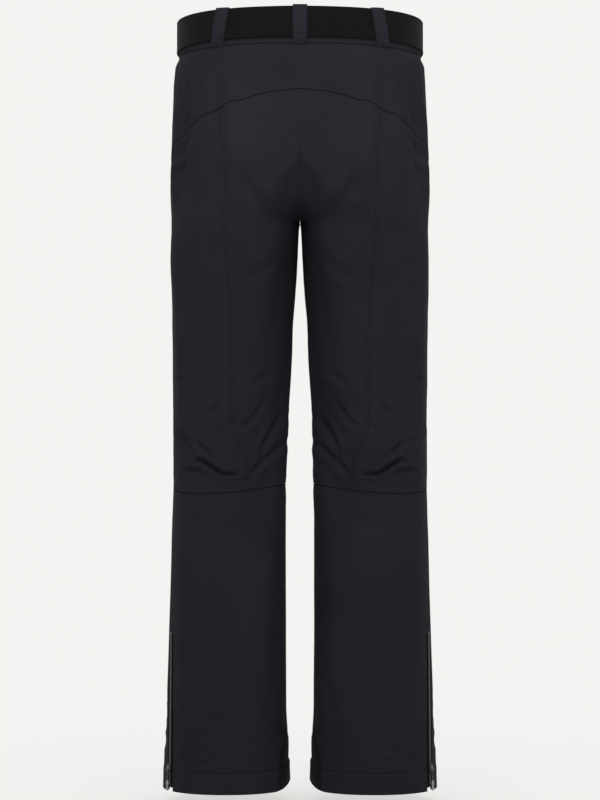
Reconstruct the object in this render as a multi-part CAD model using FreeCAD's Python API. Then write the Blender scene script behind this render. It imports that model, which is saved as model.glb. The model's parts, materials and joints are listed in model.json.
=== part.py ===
"""Insulated ski pants, worn shape, with elastic belt, zipped ankles, zipped pockets and zip fly.

Units are millimetres. +Z is up, the front faces -Y and the wearer's left is +X. The origin is the
centre of the waist opening, level with the waistband's top edge.

Every cloth piece is cut from one garment surface. A point on it is named by t and z: z is the height,
and t runs from the centre back (0) round the outer side (0.5) to the centre front (1). Below the
crotch t runs round the leg, from the inseam over the calf, the outer side and the shin and back.
"""
import FreeCAD
import Part
import math
import os
from functools import lru_cache

Vec = FreeCAD.Vector

# ---------------------------------------------------------------- driving dimensions
WAISTBAND_H = 50.0
YOKE_Z = -113.0            # yoke's lower edge at the centre back
YOKE_DROP = 98.0           # how much lower that edge is at the side seam
CROTCH_Z = -284.0
KNEE_Z = -638.5            # seam behind the knee, at the inseam
KNEE_TOP_Z = -545.0        # knee panel, front
KNEE_BOTTOM_Z = -692.0
HEM_Z = -1054.0
HEM_TURN_UP = 30.0
SEAM_GAP = 0.4             # half the gap between neighbouring panels

SHELL_T = 2.0              # padded outer fabric
LINING_AT = -9.2           # layers inside the shell, measured along the outward normal
LINING_T = 0.6
BELT_W = 40.0
BELT_AT = 1.4
BELT_T = 1.8

# Outline of the garment: (height, size) at a few heights, joined by smooth curves. Each leg is a tube
# that runs on up into the seat, where the left and right tubes run together.
OUTER_X = [(0, 163.3), (-50, 164.2), (-64, 169.5), (-205, 174.9), (-248, 176.4), (-340, 175.3),
           (-440, 174.6), (-640, 174.8), (-720, 176.5), (-830, 179.5), (-1054, 187.0)]
INNER_X = [(0, -71), (-50, -72), (-110, -68), (-180, -58), (-240, -34), (-268, -13), (CROTCH_Z, 2.08),
           (-306, 2.6), (-361, 4.3), (-389, 6.2), (-442, 11.7), (-524, 16.6), (-582, 19.3), (-665, 20.8),
           (-720, 19.6), (-940, 18.8), (-996, 16.0), (-1054, 13.5)]
BACK_DEPTH = [(0, 88), (-50, 93), (-64, 97), (-110, 108), (-160, 119), (-205, 126), (-240, 123),
              (-281, 115), (-340, 102), (-440, 90), (-550, 82), (-640, 79), (-720, 79.5),
              (-830, 80.5), (-1054, 86)]
FRONT_DEPTH = [(0, 89), (-50, 91), (-64, 94), (-110, 98), (-205, 106), (-281, 111), (-340, 105),
               (-440, 94), (-550, 86), (-640, 80), (-720, 79), (-830, 80.5), (-1054, 86)]
CENTRE_Y = [(0, -2), (-281, 6), (-640, -1), (-830, 3.5), (-1054, 5)]
BLEND = [(0, 26), (-110, 25), (-180, 23), (-240, 15), (-268, 8), (CROTCH_Z, 3.0), (-340, 1.5)]
SQUARENESS = 2.15          # exponent of the tubes' sections: 2 is an ellipse
WAIST_SLOPE = 0.093        # the waist drops this much per mm from the centre back to the front
SLOPE_FROM_Y = 88.0
SLOPE_END_Z = -230.0

# Seams. The princess seam is placed by its distance from the middle, the side seam by t.
PRINCESS_X = [(-110, 111), (-222, 105.7), (-281, 103.2), (-340, 99.2), (-440, 93.3), (-550, 92.8),
              (-575, 88.5), (-590, 81.4), (-603, 74.5), (-621, 70.7), (-650, 70.0)]
ZIP_TOP_Z = -846.0
SIDE_T = [(0, 0.5), (-640, 0.5), (-740, 0.475), (ZIP_TOP_Z, 0.444), (HEM_Z, 0.4188)]

# Zip fasteners
CHAIN_W = 6.0
CHAIN_AT = (-3.0, -0.5)
SLOT_HALF = 5.7
SLIDER_HALF_W = 5.2
SLIDER_L = 12.0
TAPE_AT = (-3.7, -3.25)
TAPE_W = 7.2
ANKLE_REST_Z = -1024.0
POCKET_T = (0.70, 0.64)    # t at the pocket zip's upper and lower ends
POCKET_Z = (-76.0, -214.0)
FLY_Z = (-62.0, -201.0)
FLY_DEPTH = 8.0            # zip fly behind the outer face of the front seam

LEFT, RIGHT = 1, -1
SIDES = (("left", LEFT), ("right", RIGHT))
nodes = {}


# ---------------------------------------------------------------- the garment surface
def curve(table, z):
    """Smooth value of a (height, size) table at height z, with no overshoot."""
    pts = sorted(table)
    if z <= pts[0][0]:
        return float(pts[0][1])
    if z >= pts[-1][0]:
        return float(pts[-1][1])
    i = max(k for k in range(len(pts) - 1) if pts[k][0] <= z)
    steps = [(pts[k + 1][1] - pts[k][1]) / (pts[k + 1][0] - pts[k][0]) for k in range(len(pts) - 1)]

    def slope(k):
        if k == 0:
            return steps[0]
        if k == len(pts) - 1:
            return steps[-1]
        a, b = steps[k - 1], steps[k]
        return 0.0 if a * b <= 0 else 2 * a * b / (a + b)

    h = pts[i + 1][0] - pts[i][0]
    s = (z - pts[i][0]) / h
    return ((2 * s**3 - 3 * s**2 + 1) * pts[i][1] + (s**3 - 2 * s**2 + s) * h * slope(i)
            + (3 * s**2 - 2 * s**3) * pts[i + 1][1] + (s**3 - s**2) * h * slope(i + 1))


def straight(table, z):
    """Value of a table at height z, joined by straight lines."""
    pts = sorted(table)
    z = min(max(z, pts[0][0]), pts[-1][0])
    for (z0, v0), (z1, v1) in zip(pts, pts[1:]):
        if z <= z1:
            return v0 + (v1 - v0) * (z - z0) / (z1 - z0)
    return pts[-1][1]


@lru_cache(maxsize=None)
def section(z):
    """Sizes of the leg tube at height z: centre x and y, half width, back and front depth, blend."""
    outer, inner = curve(OUTER_X, z), curve(INNER_X, z)
    return ((outer + inner) / 2, straight(CENTRE_Y, z), (outer - inner) / 2,
            curve(BACK_DEPTH, z), curve(FRONT_DEPTH, z), curve(BLEND, z))


def tube(x, y, z, side):
    """About how far a point lies outside the left (side 1) or right (side -1) leg tube."""
    cx, cy, a, back, front, _ = section(z)
    b = back if y > cy else front
    ratio = (abs((x - side * cx) / a) ** SQUARENESS + abs((y - cy) / b) ** SQUARENESS) ** (1 / SQUARENESS)
    return (ratio - 1) * min(a, b)


def outside(x, y, z):
    """The same for the whole garment: the two tubes run together smoothly."""
    k = section(z)[5]
    left, right = tube(x, y, z, LEFT), tube(x, y, z, RIGHT)
    return min(left, right) - k * math.log1p(math.exp(-abs(left - right) / k))


@lru_cache(maxsize=None)
def centre_line_angles(z):
    """Directions, seen from the left tube's centre, of the centre back and the centre front."""
    if z <= CROTCH_Z:
        return math.pi, -math.pi
    cx, cy, _, back, front, _ = section(z)
    angles = []
    for sign, depth in ((1, back), (-1, front)):
        lo, hi = 0.0, 1.4 * depth
        for _ in range(34):
            mid = (lo + hi) / 2
            lo, hi = (mid, hi) if outside(0.0, cy + sign * mid, z) < 0 else (lo, mid)
        angles.append(math.atan2(sign * lo, -cx))
    return angles[0], angles[1]


def ray(angle, z):
    """Point of the shell's outer face in a direction from the left tube's centre."""
    cx, cy, a, back, front, _ = section(z)
    c, s = math.cos(angle), math.sin(angle)
    b = back if s > 0 else front
    r = 1 / (abs(c / a) ** SQUARENESS + abs(s / b) ** SQUARENESS) ** (1 / SQUARENESS)
    for _ in range(7):
        here = outside(cx + r * c, cy + r * s, z)
        slope = (outside(cx + (r + 0.01) * c, cy + (r + 0.01) * s, z) - here) / 0.01
        r -= here / max(slope, 0.35)
    return Vec(cx + r * c, cy + r * s, z)


def facing(p):
    """Outward direction of the left half's cloth at a point. Near the crotch it is the leg's own."""
    k = section(p.z)[5]
    step = 0.25
    slopes = []
    for side in (LEFT, RIGHT):
        slopes.append(Vec(tube(p.x + step, p.y, p.z, side) - tube(p.x - step, p.y, p.z, side),
                          tube(p.x, p.y + step, p.z, side) - tube(p.x, p.y - step, p.z, side),
                          tube(p.x, p.y, p.z + step, side) - tube(p.x, p.y, p.z - step, side)))
    gap = (tube(p.x, p.y, p.z, RIGHT) - tube(p.x, p.y, p.z, LEFT)) / k
    share = min(1.0, k / 16) / (1 + math.exp(min(gap, 60.0)))
    return (slopes[0] * (1 - share) + slopes[1] * share).normalize()


def angle_at(t, z):
    back, front = centre_line_angles(z)
    return back + (front - back) * t


def half_of(t, z):
    """t on the left half, and whether the point is on the right half. A leg has no right half."""
    if z <= CROTCH_Z:
        return t, False
    t = (t + 1) % 2 - 1
    return abs(t), t < 0


def sloped(p):
    """The waist's slope, which fades out down to the hips."""
    share = min(1.0, max(0.0, (p.z - SLOPE_END_Z) / (-WAISTBAND_H - SLOPE_END_Z)))
    return Vec(p.x, p.y, p.z - WAIST_SLOPE * (SLOPE_FROM_Y - p.y) * share)


def level_surface(t, z):
    """Point of the shell's outer face before the slope. Above the crotch, t runs on over the right half."""
    t, right = half_of(t, z)
    p = ray(angle_at(t, z), z)
    return Vec(-p.x, p.y, p.z) if right else p


def surface(t, z):
    return sloped(level_surface(t, z))


def normal(t, z):
    t, right = half_of(t, z)
    n = facing(ray(angle_at(t, z), z))
    return Vec(-n.x, n.y, n.z) if right else n


def by_t(t, z, offset):
    return sloped(level_surface(t, z) + normal(t, z) * offset)


def by_angle(angle, z, offset):
    p = ray(angle, z)
    return sloped(p + facing(p) * offset)


def princess(z):
    """Angle of the princess seam, found from its distance from the middle."""
    x = curve(PRINCESS_X, z)
    lo, hi = 0.2, centre_line_angles(z)[0]
    for _ in range(24):
        mid = (lo + hi) / 2
        lo, hi = (mid, hi) if ray(mid, z).x > x else (lo, mid)
    return lo


def side_t(z):
    return straight(SIDE_T, z)


def const(value):
    return lambda _: value


def line(t):
    """Edge that keeps a constant t, as an angle at each height."""
    return lambda z: angle_at(t, z)


def side_seam(z):
    return angle_at(side_t(z), z)


def t_of(angle, z):
    back, front = centre_line_angles(z)
    return (back - angle) / (back - front)


def yoke_z(t):
    return YOKE_Z - YOKE_DROP * (min(abs(t), 0.5) / 0.5) ** 1.8


def knee_z(t):
    """The seam behind the knee dips towards the outer side."""
    share = min(t / 0.5, 1.0)
    return KNEE_Z - 5.5 * share - 9.0 * math.sin(math.pi * share ** 1.5)


# ---------------------------------------------------------------- making solids
def spline(points):
    path = Part.BSplineCurve()
    path.interpolate(Points=points, Parameters=[float(i) for i in range(len(points))])
    return path


def spline_face(grid):
    """Smooth surface through a grid of points. Equal edge rows give equal edges."""
    across = [spline([column[j] for column in grid]) for j in range(len(grid[0]))]
    down = [spline([c.getPole(i + 1) for c in across]) for i in range(across[0].NbPoles)]
    face = Part.BSplineSurface()
    face.buildFromPolesMultsKnots([d.getPoles() for d in down], across[0].getMultiplicities(),
                                  down[0].getMultiplicities(), across[0].getKnots(), down[0].getKnots(),
                                  False, False, across[0].Degree, down[0].Degree)
    return face


def sheet(points, corner_row=0):
    """Closed solid between two grids of points. A sharp corner of the outline is at corner_row."""
    last = len(points[0][0]) - 1
    strips = [(0, last)] if not corner_row else [(0, corner_row), (corner_row, last)]
    faces = []
    for top, bottom in strips:
        skins = [spline_face([column[top:bottom + 1] for column in grid]) for grid in points]
        u0, u1, v0, v1 = skins[0].bounds()
        edges = [("uIso", u0), ("uIso", u1)]
        if top == 0:
            edges.append(("vIso", v0))
        if bottom == last:
            edges.append(("vIso", v1))
        faces += [skin.toShape() for skin in skins]
        for kind, value in edges:
            a, b = (getattr(skin, kind)(value).toShape() for skin in skins)
            faces.append(Part.makeRuledSurface(a, b))
    shell = Part.makeShell(faces)
    shell.sewShape()
    solid = Part.makeSolid(shell)
    if solid.Volume < 0:
        solid.reverse()
    return solid


def even_rows(edge, spot, top, bottom, n):
    """n heights along an edge, from top to bottom, evenly spaced on the cloth."""
    fine = 160
    zs = [top + (bottom - top) * k / fine for k in range(fine + 1)]
    pts = [spot(edge(z), z, 0.0) for z in zs]
    run = [0.0]
    for a, b in zip(pts, pts[1:]):
        run.append(run[-1] + (b - a).Length)
    rows = []
    for i in range(n):
        want = run[-1] * i / (n - 1)
        k = next((k for k in range(fine) if run[k + 1] >= want), fine - 1)
        rows.append(zs[k] + (zs[k + 1] - zs[k]) * (want - run[k]) / max(run[k + 1] - run[k], 1e-9))
    return rows


def panel(first, last, z_top, z_bottom, offsets, nu=9, nv=15, gap=SEAM_GAP, spot=by_t, corner_row=0,
          taper=None):
    """Cloth between the edges first(z) and last(z) and the heights z_top(t) and z_bottom(t).

    The edges are given in spot's own coordinate, t or an angle. With corner_row the first edge
    passes the crotch at that row, and the last edge too if it comes from a centre line.
    """
    angles = spot is by_angle

    def edge_height(edge, rule):
        z = rule(0.25)
        for _ in range(12):
            z = rule(t_of(edge(z), z) if angles else edge(z))
        return z

    def rows_of(edge, crosses):
        top, bottom = edge_height(edge, z_top) - gap, edge_height(edge, z_bottom) + gap
        if not crosses:
            return even_rows(edge, spot, top, bottom, nv)
        upper = even_rows(edge, spot, top, CROTCH_Z, corner_row + 1)
        return upper[:-1] + even_rows(edge, spot, CROTCH_Z, bottom, nv - corner_row)

    meets_centre = bool(corner_row) and abs(abs(last(CROTCH_Z)) - math.pi) < 1e-6
    rows = (rows_of(first, bool(corner_row)), rows_of(last, meets_centre))
    sign = 1 if last(rows[1][nv // 2]) > first(rows[0][nv // 2]) else -1

    def inset(edge, z, direction):
        c = edge(z)
        speed = (spot(c + direction * 0.02, z, 0.0) - spot(c, z, 0.0)).Length / 0.02
        return c + direction * gap / max(speed, 20.0)

    ends = [[(inset(edge, z, sign * way), z) for z in row]
            for edge, row, way in ((first, rows[0], 1), (last, rows[1], -1))]

    def border(j, rule, shift):
        """The top or bottom edge, between the two corner points."""
        (c0, z0), (c1, z1) = ends[0][j], ends[1][j]
        out = []
        for i in range(nu):
            p = i / (nu - 1)
            c = c0 * (1 - p) + c1 * p
            z = z0 * (1 - p) + z1 * p
            for _ in range(12 if 0 < i < nu - 1 else 0):
                z = rule(t_of(c, z) if angles else c) + shift
            out.append((c, z))
        return out

    borders = border(0, z_top, -gap), border(nv - 1, z_bottom, gap)
    grids = ([], [])
    for i in range(nu):
        p = i / (nu - 1)
        columns = ([], [])
        for j in range(nv):
            q = j / (nv - 1)
            c, z = (ends[0][j][m] * (1 - p) + ends[1][j][m] * p
                    + borders[0][i][m] * (1 - q) + borders[1][i][m] * q
                    - (ends[0][0][m] * (1 - p) + ends[1][0][m] * p) * (1 - q)
                    - (ends[0][-1][m] * (1 - p) + ends[1][-1][m] * p) * q for m in (0, 1))
            for column, offset in zip(columns, offsets):
                column.append(spot(c, z, offset + (taper(z) if taper else 0.0)))
        for grid, column in zip(grids, columns):
            grid.append(column)
    return sheet(grids, corner_row)


def mirrored(shape):
    return shape.mirror(Vec(0, 0, 0), Vec(1, 0, 0))


def both_sides(name, shape):
    nodes[f"{name}_left"] = [shape]
    nodes[f"{name}_right"] = [mirrored(shape)]


class Place:
    """A straight local frame: u along, n outward and w across, at a point."""

    def __init__(self, origin, u, n):
        self.o = origin
        self.u = Vec(u).normalize()
        self.w = self.u.cross(n).normalize()
        self.n = self.w.cross(self.u).normalize()

    def point(self, u, w, n):
        return self.o + self.u * u + self.w * w + self.n * n

    def box(self, u, w, n):
        """Block between the given (low, high) pairs along u, w and n."""
        corners = [self.point(u[0], a, b) for a, b in
                   ((w[0], n[0]), (w[1], n[0]), (w[1], n[1]), (w[0], n[1]))]
        face = Part.Face(Part.makePolygon(corners + corners[:1]))
        return face.extrude(self.u * (u[1] - u[0]))

    def prism(self, outline, w):
        """Outline of (u, n) points, pushed from w[0] to w[1]."""
        pts = [self.point(u, w[0], n) for u, n in outline]
        return Part.Face(Part.makePolygon(pts + pts[:1])).extrude(self.w * (w[1] - w[0]))

    def slab(self, outline, n):
        """Outline of (u, w) points, pushed from n[0] to n[1]."""
        pts = [self.point(u, w, n[0]) for u, w in outline]
        return Part.Face(Part.makePolygon(pts + pts[:1])).extrude(self.n * (n[1] - n[0]))

    def rod(self, start, direction, r, length):
        return Part.makeCylinder(r, length, start, direction)


# ---------------------------------------------------------------- outer shell
def arch_prism(grow):
    """The scuff guard's arched outline at the inner ankle, pushed sideways through the leg's inner wall."""
    rise, half_back, half_front, middle = 121.0 + grow, 55.0 + grow, 57.0 + grow, 3.0
    foot = HEM_Z - 8.0
    back = Part.BSplineCurve()
    back.interpolate([Vec(-12, middle + half_back, foot), Vec(-12, middle + 0.92 * half_back, HEM_Z + 32),
                      Vec(-12, middle + 0.52 * half_back, HEM_Z + 76), Vec(-12, middle, HEM_Z + rise)])
    front = Part.BSplineCurve()
    front.interpolate([Vec(-12, middle, HEM_Z + rise), Vec(-12, middle - 0.52 * half_front, HEM_Z + 76),
                       Vec(-12, middle - 0.92 * half_front, HEM_Z + 32), Vec(-12, middle - half_front, foot)])
    base = Part.LineSegment(Vec(-12, middle - half_front, foot), Vec(-12, middle + half_back, foot))
    wire = Part.Wire([back.toShape(), front.toShape(), base.toShape()])
    return Part.Face(wire).extrude(Vec(112, 0, 0))


def hem_z(_):
    return HEM_Z


def make_shell():
    shell = (0.0, -SHELL_T)
    nodes["waistband"] = [panel(const(-0.9975), const(0.9975), const(0.4), const(-WAISTBAND_H),
                                shell, nu=61, nv=4)]
    nodes["back_yoke"] = [panel(const(-0.5), const(0.5), const(-WAISTBAND_H), yoke_z, shell, nu=31, nv=9)]
    both_sides("back_center_panel", panel(line(0.0), princess, yoke_z, knee_z, shell, nu=13, nv=31,
                                          spot=by_angle, corner_row=12))
    both_sides("back_side_panel", panel(princess, side_seam, yoke_z, knee_z, shell, nu=9, nv=25,
                                        spot=by_angle))

    thigh = panel(line(1.0), line(0.5), const(-WAISTBAND_H), const(KNEE_TOP_Z), shell, nu=17, nv=31,
                  spot=by_angle, corner_row=15)
    pocket = pocket_place()
    both_sides("front_thigh_panel", thigh.cut(pocket.box((-13, zip_length(pocket_ends()) + 6),
                                                         (-SLOT_HALF, SLOT_HALF), (-9, 9))))
    both_sides("knee_panel", panel(side_t, const(1.0), const(KNEE_TOP_Z), const(KNEE_BOTTOM_Z), shell,
                                   nu=17, nv=9))

    ankle = ankle_place()
    length = zip_length(ankle_ends())
    slot = ankle.box((-60, length + 3), (-SLOT_HALF, SLOT_HALF), (-9, 9))
    arch = arch_prism(SEAM_GAP)
    calf = panel(const(0.0), side_t, knee_z, hem_z, shell, nu=13, nv=13)
    both_sides("calf_panel", calf.cut(slot).cut(arch))
    shin = panel(side_t, const(1.0), const(KNEE_BOTTOM_Z), hem_z, shell, nu=15, nv=13)
    both_sides("shin_panel", shin.cut(slot).cut(arch))
    ring = panel(const(-0.22), const(0.2), const(-925.0), hem_z, shell, nu=15, nv=7)
    both_sides("scuff_guard", ring.common(arch_prism(-SEAM_GAP)))


# ---------------------------------------------------------------- inner layers
def make_inside():
    nodes["waistband_facing"] = [panel(const(-0.93), const(0.93), const(-0.6), const(-WAISTBAND_H + 1),
                                       (-2.6, -3.6), nu=49, nv=4)]
    nodes["waistband_underlap"] = [panel(const(0.945), const(1.055), const(-1.5), const(-WAISTBAND_H + 2),
                                         (-3.9, -5.1), nu=7, nv=4)]
    nodes["care_label"] = [panel(const(-0.035), const(0.035), const(-58.0), const(-98.0), (-10.4, -10.7),
                                 nu=5, nv=5)]

    def lining_front(z):
        return angle_at(straight([(0, 0.925), (-205, 0.925), (-250, 1.0), (HEM_Z, 1.0)], z), z)

    lining = (LINING_AT, LINING_AT - LINING_T)
    both_sides("lining", panel(line(0.0), lining_front, const(-54.0), const(-876.0), lining,
                               nu=33, nv=41, gap=1.2, spot=by_angle, corner_row=15))
    padding = panel(const(0.0), const(1.0), const(-300.0), const(ZIP_TOP_Z + 12), (-2.6, -6.4), nu=31,
                    nv=25, gap=1.2)
    nodes["leg_insulation"] = [padding, mirrored(padding)]

    def cuff_taper(z):
        return -9.0 * max(0.0, min(1.0, (-884.0 - z) / 150.0))

    both_sides("gaiter", panel(const(0.0), const(1.0), const(-882.0), const(-1034.0), (-7.0, -7.8),
                               nu=31, nv=9, gap=1.2, taper=cuff_taper))
    band = panel(const(0.0), const(1.0), const(-1012.0), const(-1034.0), (-8.3, -9.8), nu=31, nv=5,
                 gap=1.4, taper=cuff_taper)
    nodes["gaiter_elastics"] = [band, mirrored(band)]

    ankle = ankle_place()
    zip_room = ankle.box((-60, 60), (-15, 15), (-12, 9))
    facing = panel(const(0.0), const(1.0), const(HEM_Z + HEM_TURN_UP), const(HEM_Z + 0.6), (-2.6, -3.4),
                   nu=31, nv=4).cut(zip_room)
    nodes["hem_facings"] = [facing, mirrored(facing)]

    gusset = panel(lambda z: side_t(z) - 0.034, lambda z: side_t(z) + 0.034, const(ZIP_TOP_Z + 6),
                   const(HEM_Z + 3), (-5.9, -6.5), nu=5, nv=9)
    nodes["ankle_gussets"] = [gusset, mirrored(gusset)]

    bag = [panel(const(0.59), const(0.76), const(-66.0), const(-262.0), faces, nu=9, nv=9)
           for faces in ((-7.6, -8.0), (-8.3, -8.7))]
    nodes["pocket_bags"] = bag + [mirrored(b) for b in bag]


# ---------------------------------------------------------------- zip fasteners
def ankle_ends():
    """Centre line of the ankle zip, from the slider at the hem to the top of the teeth."""
    return (surface(side_t(ANKLE_REST_Z), ANKLE_REST_Z), surface(side_t(ZIP_TOP_Z + 4), ZIP_TOP_Z + 4))


def pocket_ends():
    return surface(POCKET_T[0], POCKET_Z[0]), surface(POCKET_T[1], POCKET_Z[1])


def fly_ends():
    behind = Vec(0, FLY_DEPTH, 0)
    return surface(1.0, FLY_Z[0]) + behind, surface(1.0, FLY_Z[1]) + behind


def zip_length(ends):
    return (ends[1] - ends[0]).Length


def ankle_place():
    a, b = ankle_ends()
    z = (a.z + b.z) / 2
    return Place(a, b - a, normal(side_t(z), z))


def pocket_place():
    """u runs down from the slider, which closes upward."""
    a, b = pocket_ends()
    z = (a.z + b.z) / 2
    return Place(a, b - a, normal(sum(POCKET_T) / 2, z))


def fly_place():
    a, b = fly_ends()
    return Place(a, b - a, Vec(0, -1, 0))


def slider(place, down):
    """Upper shell with side flanges, lower plate and the arched bail. down is -1 where u points up."""
    h, f = SLIDER_HALF_W, SLIDER_HALF_W - 1.5
    half = SLIDER_L / 2
    nose = [(-down * half, -0.62 * h), (-down * half, 0.62 * h), (-0.2 * down * half, h), (down * half, h),
            (down * half, -h), (-0.2 * down * half, -h)]
    body = place.slab(nose, (0.1, 1.5))
    for s in (-1, 1):
        body = body.fuse(place.box((-half + 3, half - 3), tuple(sorted((s * f, s * h))), (-2.1, 0.3)))
    arch = place.prism([(-4.6, 1.4), (-4.6, 3.2), (-3.2, 4.7), (3.2, 4.7), (4.6, 3.2), (4.6, 1.4),
                        (3.6, 1.4), (3.6, 3.0), (2.8, 3.8), (-2.8, 3.8), (-3.6, 3.0), (-3.6, 1.4)],
                       (-0.9, 0.9))
    lower = place.slab(nose, (-4.6, -3.8))
    return [body.fuse(arch).removeSplitter(), lower]


PULL_PIVOT_U, PULL_PIVOT_N = 2.4, 2.65


def pull(place, down, length):
    """Cast pull tab: a cross bar under the bail, two arms and a plate with two round holes."""
    c = down * PULL_PIVOT_U
    n = PULL_PIVOT_N
    bar = place.rod(place.point(c, -3.4, n), place.w, 0.7, 6.8)
    flat = (n - 0.7, n + 0.7)
    arms = [place.box(tuple(sorted((c - 0.7 * down, c + down * 8.0))), tuple(sorted((s * 2.0, s * 3.4))), flat)
            for s in (-1, 1)]
    neck = place.box(tuple(sorted((c + down * 7.4, c + down * (length - 13.0)))), (-1.9, 1.9), flat)
    web = place.box(tuple(sorted((c + down * 7.0, c + down * 9.0))), (-3.4, 3.4), flat)
    shape = bar.fuse(arms + [neck, web])
    for centre, r in ((length - 10.5, 4.1), (length - 3.8, 3.8)):
        shape = shape.fuse(place.rod(place.point(c + down * centre, 0, flat[0]), place.n, r, 1.4))
    for centre, r in ((length - 10.5, 1.9), (length - 3.8, 1.7)):
        shape = shape.cut(place.rod(place.point(c + down * centre, 0, flat[0] - 1), place.n, r, 4))
    return [shape.removeSplitter()]


def chain(place, length, extra):
    """Closed teeth: a ribbed bar from just past the slider to the end stop."""
    return place.box((-extra, length), (-CHAIN_W / 2, CHAIN_W / 2), CHAIN_AT)


def tapes(place, start, end):
    """Two woven tapes that lie flat, one each side of the teeth."""
    return [place.box((start, end), w, TAPE_AT) for w in ((-TAPE_W, -3.4), (3.4, TAPE_W))]


def make_zips():
    ankle, length = ankle_place(), zip_length(ankle_ends())
    both_sides("ankle_zip_chain", chain(ankle, length - 1, 22))
    tape = tapes(ankle, -27, length + 4)
    for name, side in SIDES:
        turn = (lambda s: s) if side == LEFT else mirrored
        nodes[f"ankle_zip_tape_{name}"] = [turn(s) for s in tape]
        nodes[f"ankle_slider_{name}"] = [turn(s) for s in slider(ankle, -1)]
        nodes[f"ankle_pull_{name}"] = [turn(s) for s in pull(ankle, -1, 28.0)]

    pocket, length = pocket_place(), zip_length(pocket_ends())
    bar = chain(pocket, length, 8)
    nodes["pocket_zip_chains"] = [bar, mirrored(bar)]
    thigh = nodes["front_thigh_panel_left"][0]
    strips = [tape.cut(thigh) for tape in tapes(pocket, -8, length + 4)]
    nodes["pocket_zip_tapes"] = strips + [mirrored(s) for s in strips]
    for name, side in SIDES:
        turn = (lambda s: s) if side == LEFT else mirrored
        nodes[f"pocket_slider_{name}"] = [turn(s) for s in slider(pocket, 1)]
        nodes[f"pocket_pull_{name}"] = [turn(s) for s in pull(pocket, 1, 26.0)]

    fly, length = fly_place(), zip_length(fly_ends())
    nodes["fly_zip_chain"] = [chain(fly, length, 7)]
    nodes["fly_zip_tape"] = tapes(fly, -8, length + 4)
    nodes["fly_slider"] = slider(fly, 1)
    nodes["fly_pull"] = pull(fly, 1, 24.0)
    nodes["fly_shield"] = [panel(const(0.93), const(1.07), const(-55.0), const(-216.0), (-16.0, -17.0),
                                 nu=7, nv=7)]


# ---------------------------------------------------------------- belt, loops and closure
FRONT_Z = -21.0            # height of the buckle's middle
LOOP_W = 19.5
LOOP_SIDE_X = 109.0        # distance of the side-back loops from the middle
LOOP_FRONT_X = 106.0
BUCKLE_HALF_W = 21.5
PIN_R = 1.2
PIN_X, PIN_N = -12.0, 7.6


def wall_place(t, z):
    """Frame on the waistband: u up along the wall, n outward, w along the waist."""
    low, high = surface(t, -WAISTBAND_H), surface(t, 0.0)
    up = (high - low).normalize()
    return Place(high + up * (z / up.z), up, normal(t, z))


def loop(t):
    """Folded strip that stands off the waistband and holds the belt."""
    place = wall_place(t, 0.0)
    out, thick = BELT_AT + BELT_T + 0.6, 1.2
    low = -WAISTBAND_H - 1.0
    outline = [(low, 0.5), (low, out + thick), (1.9, out + thick), (1.9, 0.5), (0.7, 0.5), (0.7, out),
               (low + 7, out), (low + 7, 0.5)]
    return place.prism(outline, (-LOOP_W / 2, LOOP_W / 2))


def belt_t(x, centre=1.0):
    """t on the waistband at a distance x from its centre front, or from its centre back with centre 0."""
    side, middle = 0.5, centre
    for _ in range(24):
        mid = (side + middle) / 2
        side, middle = (mid, middle) if surface(mid, FRONT_Z).x > x else (side, mid)
    return side


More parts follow.
